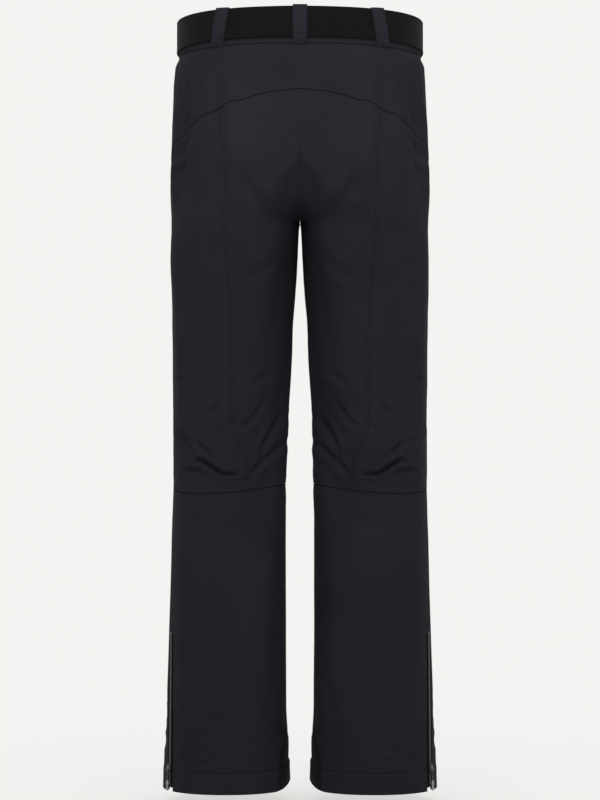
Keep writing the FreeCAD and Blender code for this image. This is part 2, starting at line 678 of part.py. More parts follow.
def make_belt():
    end = belt_t(BUCKLE_HALF_W + 0.8)
    belt = (BELT_AT + BELT_T, BELT_AT)
    nodes["belt_webbing"] = [panel(const(-end), const(end), const(-0.2), const(-BELT_W - 0.8), belt,
                                   nu=61, nv=4)]
    over = (BELT_AT + 2 * BELT_T + 0.4, BELT_AT + BELT_T + 0.4)
    nodes["belt_tail"] = [panel(const(belt_t(80.0)), const(end), const(-0.8), const(-BELT_W - 0.2), over,
                                nu=9, nv=4)]
    nodes["belt_tip"] = [panel(const(belt_t(89.0)), const(belt_t(79.6)), const(-0.3), const(-BELT_W - 0.7),
                               (over[0] + 0.3, over[1] - 0.1), nu=4, nv=4)]

    nodes["belt_loop_back"] = [loop(0.0)]
    side = loop(belt_t(LOOP_SIDE_X, 0.0))
    nodes["belt_loops_side"] = [side, mirrored(side)]
    front = loop(belt_t(LOOP_FRONT_X))
    nodes["belt_loops_front"] = [front, mirrored(front)]

    ring = wall_place(belt_t(56.0), FRONT_Z)
    outer = ring.box((-22.8, 23.0), (-4.5, 4.5), (0.25, 7.2))
    inner = ring.box((-21.2, 21.9), (-6.0, 6.0), (0.75, 6.4))
    nodes["belt_keeper"] = [outer.cut(inner)]

    buckle = wall_place(1.0, FRONT_Z)
    half_w, half_h = BUCKLE_HALF_W, 24.0
    plate = buckle.box((-half_h, half_h), (-half_w, half_w), (2.4, 5.6))
    window = buckle.box((-19.5, 19.5), (-14.0, 14.0), (0, 9))
    frame = plate.cut(window)
    pin_w = PIN_X if buckle.w.x > 0 else -PIN_X
    for low, high in ((-half_h, -20.2), (20.2, half_h)):
        frame = frame.fuse(buckle.box((low, high), (pin_w - 3.4, pin_w + 3.4), (5.2, 10.6)))
    hole = buckle.rod(buckle.point(-40, pin_w, PIN_N), buckle.u, PIN_R + 0.05, 80)
    nodes["buckle_frame"] = [frame.cut(hole).removeSplitter()]
    nodes["buckle_pin"] = [buckle.rod(buckle.point(-half_h + 0.5, pin_w, PIN_N), buckle.u, PIN_R,
                                      2 * half_h - 1)]
    reach = math.copysign(30.0, -pin_w)
    wing = buckle.box((-18.8, 18.8), tuple(sorted((pin_w, pin_w + reach))), (PIN_N - 1.0, PIN_N + 1.1))
    barrel = buckle.rod(buckle.point(-19.1, pin_w, PIN_N), buckle.u, 2.5, 38.2)
    lever = wing.fuse(barrel)
    nodes["buckle_lever"] = [lever.cut(buckle.rod(buckle.point(-40, pin_w, PIN_N), buckle.u,
                                                  PIN_R + 0.06, 80)).removeSplitter()]

    snap = wall_place(1.0, -WAISTBAND_H / 2)
    nodes["snap_cap"] = [snap.rod(snap.point(0, 0, 0.2), snap.n, 7.5, 1.4)]
    nodes["snap_socket"] = [snap.rod(snap.point(0, 0, -2.3), snap.n * -1, 6.0, 1.3)]


def report_axes():
    """Prints the places that the joints turn and slide on."""
    buckle = wall_place(1.0, FRONT_Z)
    places = (("ankle", ankle_place(), -PULL_PIVOT_U, PULL_PIVOT_N, 0),
              ("pocket", pocket_place(), PULL_PIVOT_U, PULL_PIVOT_N, 0),
              ("fly", fly_place(), 0, 0, 0), ("buckle", buckle, 0, PIN_N, PIN_X * buckle.w.x),
              ("keeper", wall_place(belt_t(56.0), FRONT_Z), 0, 0, 0))
    for name, place, u, n, w in places:
        print(name, "u", [round(c, 6) for c in place.u], "w", [round(c, 6) for c in place.w],
              "at", [round(c, 4) for c in place.point(u, w, n)])
    print("lengths", [round(zip_length(ends), 2) for ends in (ankle_ends(), pocket_ends(), fly_ends())])


def main():
    os.makedirs("parts", exist_ok=True)
    for old in os.listdir("parts"):
        os.remove(os.path.join("parts", old))
    make_shell()
    make_inside()
    make_zips()
    make_belt()
    for name, solids in nodes.items():
        whole = []
        for s in solids:
            whole.extend(s.Solids if s.Solids else [s])
        bad = [s for s in whole if not s.isValid() or s.Volume <= 0]
        shape = whole[0] if len(whole) == 1 else Part.makeCompound(whole)
        shape.exportStep(f"parts/{name}.step")
        print(name, len(whole), "solids", round(sum(s.Volume for s in whole) / 1000, 2), "cm3",
              "BAD" if bad else "")
    print(len(nodes), "nodes")
    report_axes()


main()
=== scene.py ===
import bpy
import bmesh
import json
import math
import numpy as np
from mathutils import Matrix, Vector


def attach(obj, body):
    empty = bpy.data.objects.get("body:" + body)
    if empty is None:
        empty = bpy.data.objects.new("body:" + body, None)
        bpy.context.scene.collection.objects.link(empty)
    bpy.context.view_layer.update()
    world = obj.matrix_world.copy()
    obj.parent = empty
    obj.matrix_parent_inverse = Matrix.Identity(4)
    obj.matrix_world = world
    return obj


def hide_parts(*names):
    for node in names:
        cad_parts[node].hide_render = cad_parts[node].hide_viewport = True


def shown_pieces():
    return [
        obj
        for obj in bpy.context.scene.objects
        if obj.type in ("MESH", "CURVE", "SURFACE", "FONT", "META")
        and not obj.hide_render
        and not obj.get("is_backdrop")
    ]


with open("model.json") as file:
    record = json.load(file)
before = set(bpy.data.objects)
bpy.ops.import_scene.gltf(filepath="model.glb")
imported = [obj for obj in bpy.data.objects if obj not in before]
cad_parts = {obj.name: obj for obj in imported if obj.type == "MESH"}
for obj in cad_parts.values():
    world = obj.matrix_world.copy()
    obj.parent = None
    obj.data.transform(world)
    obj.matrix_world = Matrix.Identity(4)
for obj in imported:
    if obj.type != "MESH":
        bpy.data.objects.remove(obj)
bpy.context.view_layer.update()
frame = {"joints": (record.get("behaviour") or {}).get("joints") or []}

JOINTS = {j["name"]: j for j in frame["joints"]}

# All shape work is in millimetres on the left half, and MM turns it into metres.
MM = 0.001
bpy.context.scene.view_settings.view_transform = "Standard"


def add_object(name, data):
    obj = bpy.data.objects.new(name, data)
    bpy.context.scene.collection.objects.link(obj)
    return obj


def mesh_from(name, verts_mm, faces):
    mesh = bpy.data.meshes.new(name)
    mesh.from_pydata((np.asarray(verts_mm) * MM).tolist(), [], faces)
    return mesh


def face_outward(mesh):
    """Turns all the faces of a closed mesh outward."""
    tidy = bmesh.new()
    tidy.from_mesh(mesh)
    bmesh.ops.recalc_face_normals(tidy, faces=tidy.faces)
    tidy.to_mesh(mesh)
    tidy.free()


def unit(v):
    return v / np.maximum(np.linalg.norm(v, axis=-1, keepdims=True), 1e-9)


def run_of(points):
    """Distances along a line of points."""
    return np.concatenate(([0], np.cumsum(np.linalg.norm(np.diff(points, axis=0), axis=1))))


def bisect(lo, hi, rounds, short):
    """Closes lo and hi in on the value where short(value) stops being true."""
    for _ in range(rounds):
        mid = (lo + hi) / 2
        here = short(mid)
        lo, hi = np.where(here, mid, lo), np.where(here, hi, mid)
    return lo, hi

# ---------------------------------------------------------------- the garment surface
# The same outline as the CAD model's: each leg is a tube, and the tubes run together in the seat.
CROTCH_Z = -284.0
HEM_Z = -1054.0
WAISTBAND_H = 50.0
KNEE_Z = -638.5                        # the seam behind the knee, at the inner side
KNEE_TOP_Z, SHIN_TOP_Z = -545.0, -692.0    # the seams above and below the knee, in front
ZIP_TOP_Z = -846.0
OUTER_X = [(0, 163.3), (-50, 164.2), (-64, 169.5), (-205, 174.9), (-248, 176.4), (-340, 175.3),
           (-440, 174.6), (-640, 174.8), (-720, 176.5), (-830, 179.5), (-1054, 187.0)]
INNER_X = [(0, -71), (-50, -72), (-110, -68), (-180, -58), (-240, -34), (-268, -13), (CROTCH_Z, 2.08),
           (-306, 2.6), (-361, 4.3), (-389, 6.2), (-442, 11.7), (-524, 16.6), (-582, 19.3), (-665, 20.8),
           (-720, 19.6), (-940, 18.8), (-996, 16.0), (-1054, 13.5)]
BACK_DEPTH = [(0, 88), (-50, 93), (-64, 97), (-110, 108), (-160, 119), (-205, 126), (-240, 123),
              (-281, 115), (-340, 102), (-440, 90), (-550, 82), (-640, 79), (-720, 79.5),
              (-830, 80.5), (-1054, 86)]
FRONT_DEPTH = [(0, 89), (-50, 91), (-64, 94), (-110, 98), (-205, 106), (-281, 111), (-340, 105),
               (-440, 94), (-550, 86), (-640, 80), (-720, 79), (-830, 80.5), (-1054, 86)]
CENTRE_Y = [(0, -2), (-281, 6), (-640, -1), (-830, 3.5), (-1054, 5)]
BLEND = [(0, 26), (-110, 25), (-180, 23), (-240, 15), (-268, 8), (CROTCH_Z, 3.0), (-340, 1.5)]
SQUARENESS = 2.15
PRINCESS_X = [(-110, 111), (-222, 105.7), (-281, 103.2), (-340, 99.2), (-440, 93.3), (-550, 92.8),
              (-575, 88.5), (-590, 81.4), (-603, 74.5), (-621, 70.7), (-650, 70.0)]
SIDE_T = [(0, 0.5), (-640, 0.5), (-740, 0.475), (ZIP_TOP_Z, 0.444), (HEM_Z, 0.4188)]
WAIST_SLOPE = 0.093
SLOPE_FROM_Y = 88.0
SLOPE_END_Z = -230.0


def curve(table, z):
    """Smooth values of a (height, size) table at heights z, with no overshoot."""
    xs, ys = (np.array(c, float) for c in zip(*sorted(table)))
    z = np.clip(np.asarray(z, float), xs[0], xs[-1])
    steps = np.diff(ys) / np.diff(xs)
    slopes = np.concatenate(([steps[0]], np.zeros(len(xs) - 2), [steps[-1]]))
    a, b = steps[:-1], steps[1:]
    same = a * b > 0
    slopes[1:-1][same] = 2 * a[same] * b[same] / (a[same] + b[same])
    i = np.clip(np.searchsorted(xs, z, side="right") - 1, 0, len(xs) - 2)
    h = xs[i + 1] - xs[i]
    s = (z - xs[i]) / h
    return ((2 * s**3 - 3 * s**2 + 1) * ys[i] + (s**3 - 2 * s**2 + s) * h * slopes[i]
            + (3 * s**2 - 2 * s**3) * ys[i + 1] + (s**3 - s**2) * h * slopes[i + 1])


def straight(table, z):
    """Values of a (height, size) table at heights z, joined by straight lines."""
    xs, ys = (np.array(c, float) for c in zip(*sorted(table)))
    return np.interp(z, xs, ys)


def section(z):
    """The left tube's centre x and y, half width, back and front depths and blend, at heights z."""
    outer, inner = curve(OUTER_X, z), curve(INNER_X, z)
    return ((outer + inner) / 2, straight(CENTRE_Y, z), (outer - inner) / 2,
            curve(BACK_DEPTH, z), curve(FRONT_DEPTH, z), curve(BLEND, z))


def tube(x, y, sizes, side):
    """Roughly how far points lie outside one leg's tube, left with side 1."""
    cx, cy, a, back, front, _ = sizes
    b = np.where(y > cy, back, front)
    ratio = (np.abs((x - side * cx) / a) ** SQUARENESS
             + np.abs((y - cy) / b) ** SQUARENESS) ** (1 / SQUARENESS)
    return (ratio - 1) * np.minimum(a, b)


def outside(x, y, sizes):
    """Roughly how far points lie outside the two tubes run together."""
    k = sizes[5]
    left, right = tube(x, y, sizes, 1), tube(x, y, sizes, -1)
    return np.minimum(left, right) - k * np.log1p(np.exp(-np.minimum(np.abs(left - right) / k, 60)))


def centre_angles(z):
    """Directions, from the left tube's centre, of the centre back and the centre front."""
    z = np.asarray(z, float)
    sizes = section(z)
    cx, cy, _, back, front, _ = sizes
    out = []
    for sign, depth in ((1, back), (-1, front)):
        reach, _ = bisect(np.zeros_like(z), 1.4 * depth, 30,
                          lambda y: outside(np.zeros_like(z), cy + sign * y, sizes) < 0)
        out.append(np.where(z <= CROTCH_Z, sign * math.pi, np.arctan2(sign * reach, -cx)))
    return out


def ray(angle, z):
    """Points of the shell's outer face, in directions from the left tube's centre."""
    angle, z = np.broadcast_arrays(np.asarray(angle, float), np.asarray(z, float))
    sizes = section(z)
    cx, cy, a, back, front, _ = sizes
    c, s = np.cos(angle), np.sin(angle)
    b = np.where(s > 0, back, front)
    r = 1 / (np.abs(c / a) ** SQUARENESS + np.abs(s / b) ** SQUARENESS) ** (1 / SQUARENESS)
    for _ in range(7):
        here = outside(cx + r * c, cy + r * s, sizes)
        slope = (outside(cx + (r + 0.01) * c, cy + (r + 0.01) * s, sizes) - here) / 0.01
        r = r - here / np.maximum(slope, 0.35)
    return np.stack((cx + r * c, cy + r * s, z + 0 * r), -1)


def facing(p):
    """Outward directions of the cloth at points."""
    x, y, z = p[..., 0], p[..., 1], p[..., 2]
    step = 0.25
    here, up, down = section(z), section(z + step), section(z - step)
    total = 0
    gap = np.clip((tube(x, y, here, -1) - tube(x, y, here, 1)) / here[5], -60, 60)
    for side, share in ((1, 1 - 1 / (1 + np.exp(gap))), (-1, 1 / (1 + np.exp(gap)))):
        slope = np.stack((tube(x + step, y, here, side) - tube(x - step, y, here, side),
                          tube(x, y + step, here, side) - tube(x, y - step, here, side),
                          tube(x, y, up, side) - tube(x, y, down, side)), -1)
        total = total + slope * share[..., None]
    return unit(total)


def drop(y, z):
    """How far the waist's slope lowers the cloth, from the centre back to the front."""
    share = np.clip((z - SLOPE_END_Z) / (-WAISTBAND_H - SLOPE_END_Z), 0, 1)
    return WAIST_SLOPE * (SLOPE_FROM_Y - y) * share


def sloped(p):
    """Points with the waist's slope applied."""
    out = np.array(p, float)
    out[..., 2] -= drop(out[..., 1], out[..., 2])
    return out


def angle_at(t, z):
    """Direction at a share t of the way from the centre back (0) to the centre front (1)."""
    back, front = centre_angles(z)
    return back + (front - back) * t


def t_of(angle, z):
    back, front = centre_angles(z)
    return (back - angle) / (back - front)


def line(t):
    """An edge that runs down the leg at a constant t."""
    return lambda z: angle_at(t, z)


def side_seam(z):
    return angle_at(straight(SIDE_T, z), z)


def princess_exact(z):
    x = curve(PRINCESS_X, z)
    return bisect(np.full_like(z, 0.2), centre_angles(z)[0], 24, lambda angle: ray(angle, z)[..., 0] > x)[0]


PRINCESS_Z = np.linspace(-670.0, -90.0, 240)
PRINCESS_ANGLE = princess_exact(PRINCESS_Z)


def princess(z):
    return np.interp(z, PRINCESS_Z, PRINCESS_ANGLE)


def level(z):
    """A rule for a patch's top or bottom at a constant height."""
    return lambda t: np.full_like(np.asarray(t, float), z)


def yoke_z(t):
    return -113.0 - 98.0 * (np.minimum(np.abs(t), 0.5) / 0.5) ** 1.8


def knee_z(t):
    share = np.clip(t / 0.5, 0, 1)
    return KNEE_Z - 5.5 * share - 9.0 * np.sin(math.pi * share ** 1.5)


def shifted(edge, mm_of_z):
    """An edge moved round the leg by a distance that depends on height."""
    def moved(z):
        c = edge(z)
        reach = np.linalg.norm(ray(c + 0.01, z) - ray(c, z), axis=-1) / 0.01
        return c + mm_of_z(z) / np.maximum(reach, 20.0)
    return moved


# ---------------------------------------------------------------- folds, creases and cloth texture
def lattice(ix, iy, iz):
    """A fixed scatter of values from -1 to 1 over whole-number points."""
    h = (ix * 374761393 + iy * 668265263 + iz * 2147483647 + 1013904223) & 0xFFFFFFFF
    h = ((h ^ (h >> 13)) * 1274126177) & 0xFFFFFFFF
    return ((h ^ (h >> 16)) & 0xFFFF) / 32767.5 - 1


def noise(p, size, seed=0):
    """Smooth noise from -1 to 1 with features of about that size."""
    q = p / size + seed * 17.3
    base = np.floor(q).astype(np.int64)
    f = q - base
    f = f * f * (3 - 2 * f)
    total = 0
    for dx in (0, 1):
        for dy in (0, 1):
            for dz in (0, 1):
                w = (np.where(dx, f[..., 0], 1 - f[..., 0]) * np.where(dy, f[..., 1], 1 - f[..., 1])
                     * np.where(dz, f[..., 2], 1 - f[..., 2]))
                total = total + w * lattice(base[..., 0] + dx, base[..., 1] + dy, base[..., 2] + dz)
    return total


def smooth(points, per=6):
    """Points along a smooth line through a few points."""
    p = np.array(points, float)
    p = np.vstack((2 * p[0] - p[1], p, 2 * p[-1] - p[-2]))
    out = []
    for i in range(1, len(p) - 2):
        for s in np.arange(per) / per:
            a, b, c, d = p[i - 1:i + 3]
            out.append(0.5 * (2 * b + (c - a) * s + (2 * a - 5 * b + 4 * c - d) * s**2
                              + (3 * b - a - 3 * c + d) * s**3))
    out.append(p[-2])
    return np.array(out)


# Creases on the back, as (x, z) points in millimetres with a depth and a width.
BACK_CREASES = [
    ([(143, -609), (136, -606), (123, -613), (107, -623), (96, -625), (82, -626)], 3.4, 3.6),
    ([(156, -630), (150, -621), (141, -621), (129, -628)], 2.0, 4.2),
    ([(168, -556), (157, -576), (143, -600)], 2.2, 5.0),
    ([(145, -579), (133, -589), (122, -597)], 2.0, 4.5),
    ([(104, -524), (116, -539), (126, -544)], 1.6, 5.0),
    ([(112, -574), (103, -565), (94, -557), (72, -540)], 1.0, 5.0),
    ([(44, -526), (55, -540), (64, -552), (74, -558), (88, -562)], 1.6, 5.5),
    ([(23, -546), (35, -567), (44, -584), (50, -600)], 2.4, 5.0),
    ([(20, -580), (34, -595), (47, -608), (68, -630)], 2.2, 5.0),
    ([(90, -634), (70, -635)], 1.0, 3.5),
    ([(32, -489), (51, -495), (66, -508)], 1.2, 6.0),
    ([(167, -499), (154, -500)], 1.2, 5.0),
    ([(169, -159), (157, -124)], 1.5, 4.0),
    ([(166, -168), (144, -120)], 1.7, 4.5),
    ([(170, -201), (150, -172)], 1.7, 5.0),
    ([(172, -229), (154, -205)], 1.4, 5.0),
    ([(79, -232), (62, -252), (40, -284)], 1.8, 10.0),
    ([(165, -330), (140, -352), (118, -372)], 0.9, 9.0),
    ([(30, -330), (52, -352), (80, -366)], 0.9, 9.0),
    ([(155, -1014), (148, -1007), (134, -999), (119, -988)], 1.1, 4.5),
    ([(126, -1014), (119, -1009), (108, -1001)], 0.9, 4.0),
    ([(162, -1009), (146, -996)], 0.7, 4.0),
    ([(50, -668), (84, -690), (120, -700)], 0.8, 10.0),
    ([(160, -665), (136, -700), (120, -742)], 0.8, 10.0),
]
# The same on the front, where the knees and the crotch pull the cloth a little.
FRONT_CREASES = [
    ([(20, -262), (42, -246), (74, -238)], 1.6, 6.0),
    ([(18, -290), (46, -276), (86, -272)], 1.2, 7.0),
    ([(165, -255), (140, -246), (112, -250)], 0.9, 8.0),
    ([(168, -600), (150, -618), (138, -640)], 1.0, 7.0),
    ([(26, -600), (44, -618), (52, -642)], 1.0, 7.0),
    ([(150, -960), (110, -978), (70, -968)], 1.0, 9.0),
]
CREASE, CREASE_WIDTH = 1.7, 0.8        # how much deeper and narrower all of them are made


def creases(x, z, strokes, spread=0.0):
    """Valleys along the strokes, with a low ridge on both sides unless they are spread."""
    total = np.zeros_like(x)
    for points, depth, width in strokes:
        path = smooth(points)
        near = ((x > path[:, 0].min() - 5 * width) & (x < path[:, 0].max() + 5 * width)
                & (z > path[:, 1].min() - 5 * width) & (z < path[:, 1].max() + 5 * width))
        if not near.any():
            continue
        q = np.stack((x[near], z[near]), -1)
        best, where = np.full(len(q), 1e9), np.zeros(len(q))
        for i, (a, b) in enumerate(zip(path, path[1:])):
            ab = b - a
            s = np.clip(((q - a) @ ab) / (ab @ ab), 0, 1)
            d = np.linalg.norm(q - a - s[:, None] * ab, axis=1)
            closer = d < best
            best, where = np.where(closer, d, best), np.where(closer, (i + s) / (len(path) - 1), where)
        fade = np.sin(math.pi * np.clip(where * 0.86 + 0.07, 0, 1)) ** 0.8
        width = CREASE_WIDTH * width + spread
        valley = -np.exp(-(best / width) ** 2)
        if not spread:
            valley += 0.45 * np.exp(-((best - 2.1 * width) / (1.2 * width)) ** 2)
        total[near] += CREASE * depth * fade * valley
    return total


def distance(p, a, b):
    """Distances from points to the line between a and b."""
    along = np.clip(((p - a) @ (b - a)) / ((b - a) @ (b - a)), 0, 1)
    return np.linalg.norm(p - a - along[..., None] * (b - a), axis=-1)


def relief(patch, spread=0.0):
    """How far folds and creases lift the cloth of a patch. A layer inside has wider creases, by spread."""
    p, n = patch.base, patch.n
    x, z = np.abs(p[..., 0]), p[..., 2]
    behind = np.clip(n[..., 1] * 2.2 + 0.35, 0, 1)
    before = np.clip(-n[..., 1] * 2.2 + 0.35, 0, 1)
    calm = np.clip((-z - WAISTBAND_H) / 40, 0, 1) * np.clip((z - HEM_Z) / 30, 0.25, 1)
    soft = 0.9 * noise(p, 74, 1) + 0.45 * noise(p * (1, 1, 0.7), 31, 2)
    fine = 0.12 * noise(p, 11, 3)
    knee = np.exp(-((z + 610) / 55) ** 2) * behind
    calm = calm * (1 - 0.7 * np.clip((-660 - z) / 60, 0, 1))
    settled = calm * np.clip((np.abs(z - CROTCH_Z) - 8) / 45, 0, 1)
    total = (creases(x, z, BACK_CREASES, spread) * behind + creases(x, z, FRONT_CREASES, spread) * before
             + calm * (soft + fine) + knee * noise(p * (1, 1, 1.7), 22, 4)
             + simulated.at(patch) * settled)
    for a, b in STIFF_LINES:
        total = total * np.clip(distance(sloped(p) * (patch.side or 1, 1, 1), a, b) / 16 - 0.4, 0, 1)
    return total


def new_object(name, verts, faces, material, body="pants", uvs=None, sharp=48, replaces=()):
    """One visible piece on a body, from vertices in millimetres."""
    mesh = mesh_from(name, verts, faces)
    mesh.validate()
    if uvs is not None:
        layer = mesh.uv_layers.new(name="weave")
        index = np.empty(len(mesh.loops), np.int64)
        mesh.loops.foreach_get("vertex_index", index)
        layer.data.foreach_set("uv", (np.asarray(uvs)[index] * MM).astype(np.float32).ravel())
    mesh.polygons.foreach_set("use_smooth", [True] * len(mesh.polygons))
    obj = add_object(name, mesh)
    face_outward(mesh)
    mesh.set_sharp_from_angle(angle=math.radians(sharp))
    mesh.materials.append(material)
    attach(obj, body)
    if replaces:
        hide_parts(*replaces)
    return obj


def closed_faces(nu, nv, wrap=False):
    """Faces of a slab, or of a tube, whose outer and inner grids are stored one after the other."""
    n = nu * nv
    grid = np.arange(n).reshape(nu, nv)
    if wrap:
        grid = np.vstack((grid, grid[:1]))
    quads = np.stack((grid[:-1, :-1], grid[1:, :-1], grid[1:, 1:], grid[:-1, 1:]), -1).reshape(-1, 4)
    faces = quads.tolist() + (quads[:, ::-1] + n).tolist()
    rims = ([grid[:-1, 0], grid[:-1, -1][::-1]] if wrap else
            [np.concatenate((grid[:, 0], grid[-1, 1:], grid[-2::-1, -1], grid[0, -2:0:-1]))])
    for rim in rims:
        after = np.roll(rim, -1)
        faces += np.stack((rim, rim + n, after + n, after), -1).tolist()
    return faces


STEP, BACK_STEP = 3.2, 2.6                                          # between grid points in a panel
NEAR_EDGE = [0, 0.4, 0.8, 1.3, 2.0, 2.8, 3.4, 4.0, 4.8, 6.2, 8.0]     # rows beside a seam
STITCH_ROW = 6                                                      # the one that is top-stitched
HEM_ROWS = [0, 0.6, 1.3, 2.4, 6, 11, 16, 21, 25.5, 28.2, 29.2, 30.0, 30.8, 31.8, 34.5]
HEM_STITCH_ROW = 11
PLAIN = [0, 0.5, 1.2]                                               # rows beside a turned edge
GRIDS = ("t", "z", "n", "base", "uv", "from_first", "from_last", "from_top", "from_bottom")


def stations(length, count, near_start, near_end):
    """count distances along an edge, closer together near the seams."""
    a, b = np.array(near_start, float), np.array(near_end, float)
    shrink = min(1.0, length / (1.3 * (a[-1] + b[-1]) + 1e-6))
    a, b = a * shrink, b * shrink
    middle = np.linspace(a[-1], length - b[-1], count - len(a) - len(b) + 2)[1:-1]
    return np.concatenate((a, middle, (length - b)[::-1]))


def walk(edge, top, bottom, dense_end=False):
    """Distances and heights along an edge."""
    s = np.linspace(0, 1, 900)
    z = bottom + (top - bottom) * (1 - s) ** 2 if dense_end else top + (bottom - top) * s
    return run_of(ray(edge(z), z)), z


class Patch:
    """Grid of cloth points between two edges and two heights, with the distances to its edges.

    An edge is a t or a function of height, and a top or bottom is a height or a function of t. crosses
    says whether each edge passes the crotch, where a row of points is kept. rows says how the points
    crowd together near all four edges, unless rows_top, rows_bottom, cols_first or cols_last does."""

    def __init__(self, first, last, top, bottom, crosses=(False, False), step=STEP, rows=NEAR_EDGE,
                 **by_edge):
        first, last = (e if callable(e) else line(e) for e in (first, last))
        top, bottom = (r if callable(r) else level(r) for r in (top, bottom))
        rows_top, rows_bottom, cols_first, cols_last = (
            by_edge.get(k, rows) for k in ("rows_top", "rows_bottom", "cols_first", "cols_last"))

        def height(edge, rule):
            z = np.array([float(rule(0.25))])
            for _ in range(16):
                z = np.atleast_1d(rule(t_of(edge(z), z)))
            return float(z[0])

        tops = [height(e, top) for e in (first, last)]
        bottoms = [height(e, bottom) for e in (first, last)]
        crossing = any(crosses)
        guide = 1 if crosses == (False, True) else 0
        edges = (first, last)
        if crossing:
            run, _ = walk(edges[guide], tops[guide], CROTCH_Z, True)
            upper = max(len(rows_top) + 2, int(run[-1] / step) + len(rows_top))
            run, _ = walk(edges[guide], CROTCH_Z, bottoms[guide])
            lower = max(len(rows_bottom) + 2, int(run[-1] / step) + len(rows_bottom))
            nv = upper + lower - 1
        else:
            run, _ = walk(edges[guide], tops[guide], bottoms[guide])
            nv = max(8, int(run[-1] / step) + len(rows_top) + len(rows_bottom))
        zs, fractions = [], []
        for k, edge in enumerate(edges):
            if crossing and crosses[k]:
                run_a, z_a = walk(edge, tops[k], CROTCH_Z, True)
                run_b, z_b = walk(edge, CROTCH_Z, bottoms[k])
                s_a = stations(run_a[-1], upper, rows_top, [0])
                s_b = stations(run_b[-1], lower, [0], rows_bottom)
                z = np.concatenate((np.interp(s_a, run_a, z_a)[:-1], np.interp(s_b, run_b, z_b)))
                s = np.concatenate((s_a[:-1], run_a[-1] + s_b))
            else:
                run, z_run = walk(edge, tops[k], bottoms[k])
                s = stations(run[-1], nv, rows_top, rows_bottom)
                z = np.interp(s, run, z_run)
            zs.append(z)
            fractions.append(s / s[-1])
            length = s[-1] if k == 0 else (length + s[-1]) / 2
        q = (fractions[0] + fractions[1]) / 2
        ends = [edge(z) for edge, z in zip(edges, zs)]
        parts = np.linspace(0, 1, 13)[:, None]
        cross = ray(ends[0] * (1 - parts) + ends[1] * parts, zs[0] * (1 - parts) + zs[1] * parts)
        width = np.linalg.norm(np.diff(cross, axis=0), axis=2).sum(0)
        nu = max(5, int(np.median(width) / step) + len(cols_first) + len(cols_last))
        across = np.stack([stations(w, nu, cols_first, cols_last) for w in width], 1)
        p = across / width
        c = ends[0] * (1 - p) + ends[1] * p
        z = zs[0] * (1 - p) + zs[1] * p
        fixes = []
        for j, rule in ((0, top), (-1, bottom)):
            want = z[:, j].copy()
            for _ in range(16):
                want = rule(t_of(c[:, j], want))
            fixes.append((want - z[:, j])[:, None])
        z = z + fixes[0] * (1 - q) + fixes[1] * q
        self.t, self.z, self.side = t_of(c, z), z, 1
        self.base = ray(c, z)
        self.n = facing(self.base)
        self.from_first, self.from_last = across, width - across
        self.from_top = np.broadcast_to(q * length, across.shape)
        self.from_bottom = np.broadcast_to((1 - q) * length, across.shape)
        self.uv = np.stack((across - width / 2, self.from_bottom), -1)
        self.shape = across.shape

    def lift(self, height=0.0, share=1.0, spread=0.0):
        """The cloth's outer face, raised by height and by a share of its folds."""
        folds = relief(self, spread) * share if share else 0.0
        self.face = sloped(self.base + self.n * (folds + height + np.zeros(self.shape))[..., None])
        return self

    def mirrored(self):
        """The same patch on the right leg, not yet lifted."""
        other = object.__new__(Patch)
        other.__dict__.update(self.__dict__)
        flip = np.array((-1, 1, 1))
        other.n, other.base, other.side = self.n * flip, self.base * flip, -1
        return other

    def joined(self, right):
        """One patch from this one and its mirror image, which share their first edge."""
        both = object.__new__(Patch)
        for key in (*GRIDS, "face"):
            ours, theirs = getattr(self, key), getattr(right, key)
            if key == "uv":
                theirs = theirs * (-1, 1) + (2 * ours[0, :, 0].mean(), 0)
            setattr(both, key, np.concatenate((theirs[::-1][:-1], ours)))
        both.shape, both.side = both.z.shape, 0
        return both

    def build(self, name, material, thick=2.0, wrap=False, **more):
        """The cloth as a closed slab, or as a closed tube with wrap."""
        last = -1 if wrap else None
        face, n, uv = self.face[:last], self.n[:last], self.uv[:last]
        verts = np.concatenate((face.reshape(-1, 3), (face - n * thick).reshape(-1, 3)))
        uv = np.concatenate((uv.reshape(-1, 2),) * 2)
        return new_object(name, verts, closed_faces(*face.shape[:2], wrap), material, uvs=uv, **more)


def seam(d, depth=0.6):
    """Cloth turned in at a seam, with the seam allowance under it."""
    return (-depth * np.exp(-(d / 0.55) ** 2) - 0.4 * depth * np.exp(-(d / 5.0) ** 2)
            + 0.35 * depth * np.exp(-((d - 2.0) / 1.2) ** 2))


def stitched(d, at=NEAR_EDGE[STITCH_ROW], depth=0.42):
    """Cloth pressed down by a row of top-stitching."""
    return -depth * np.exp(-((d - at) / 0.5) ** 2)


def turned_up(d):
    """The hem, two layers thick, with a deep row of stitching along its upper edge."""
    at = HEM_ROWS[HEM_STITCH_ROW]
    return (0.8 / (1 + np.exp((d - at) / 0.6)) + stitched(d, at, 1.3)
            - 0.6 * np.exp(-((d - at - 4) / 5.0) ** 2))


def pucker(p, d):
    """Small gathers beside a seam."""
    return 0.3 * np.exp(-d / 7) * noise(p, 8, 5) + 0.25 * np.exp(-d / 14) * noise(p, 15, 6)


def seams(patch, top=0.0, bottom=0.0, first=0.6, last=0.6):
    """Seams of these depths along a patch's edges."""
    return (seam(patch.from_first, first) + seam(patch.from_last, last) + seam(patch.from_top, top)
            + seam(patch.from_bottom, bottom))


def near_edge(patch, first=True):
    """Distances to the nearest edge that isn't joined to anything."""
    out = np.minimum(np.minimum(patch.from_top, patch.from_bottom), patch.from_last)
    return np.minimum(out, patch.from_first) if first else out


def rounded_off(edge):
    return -0.35 * np.exp(-(edge / 0.5) ** 2)


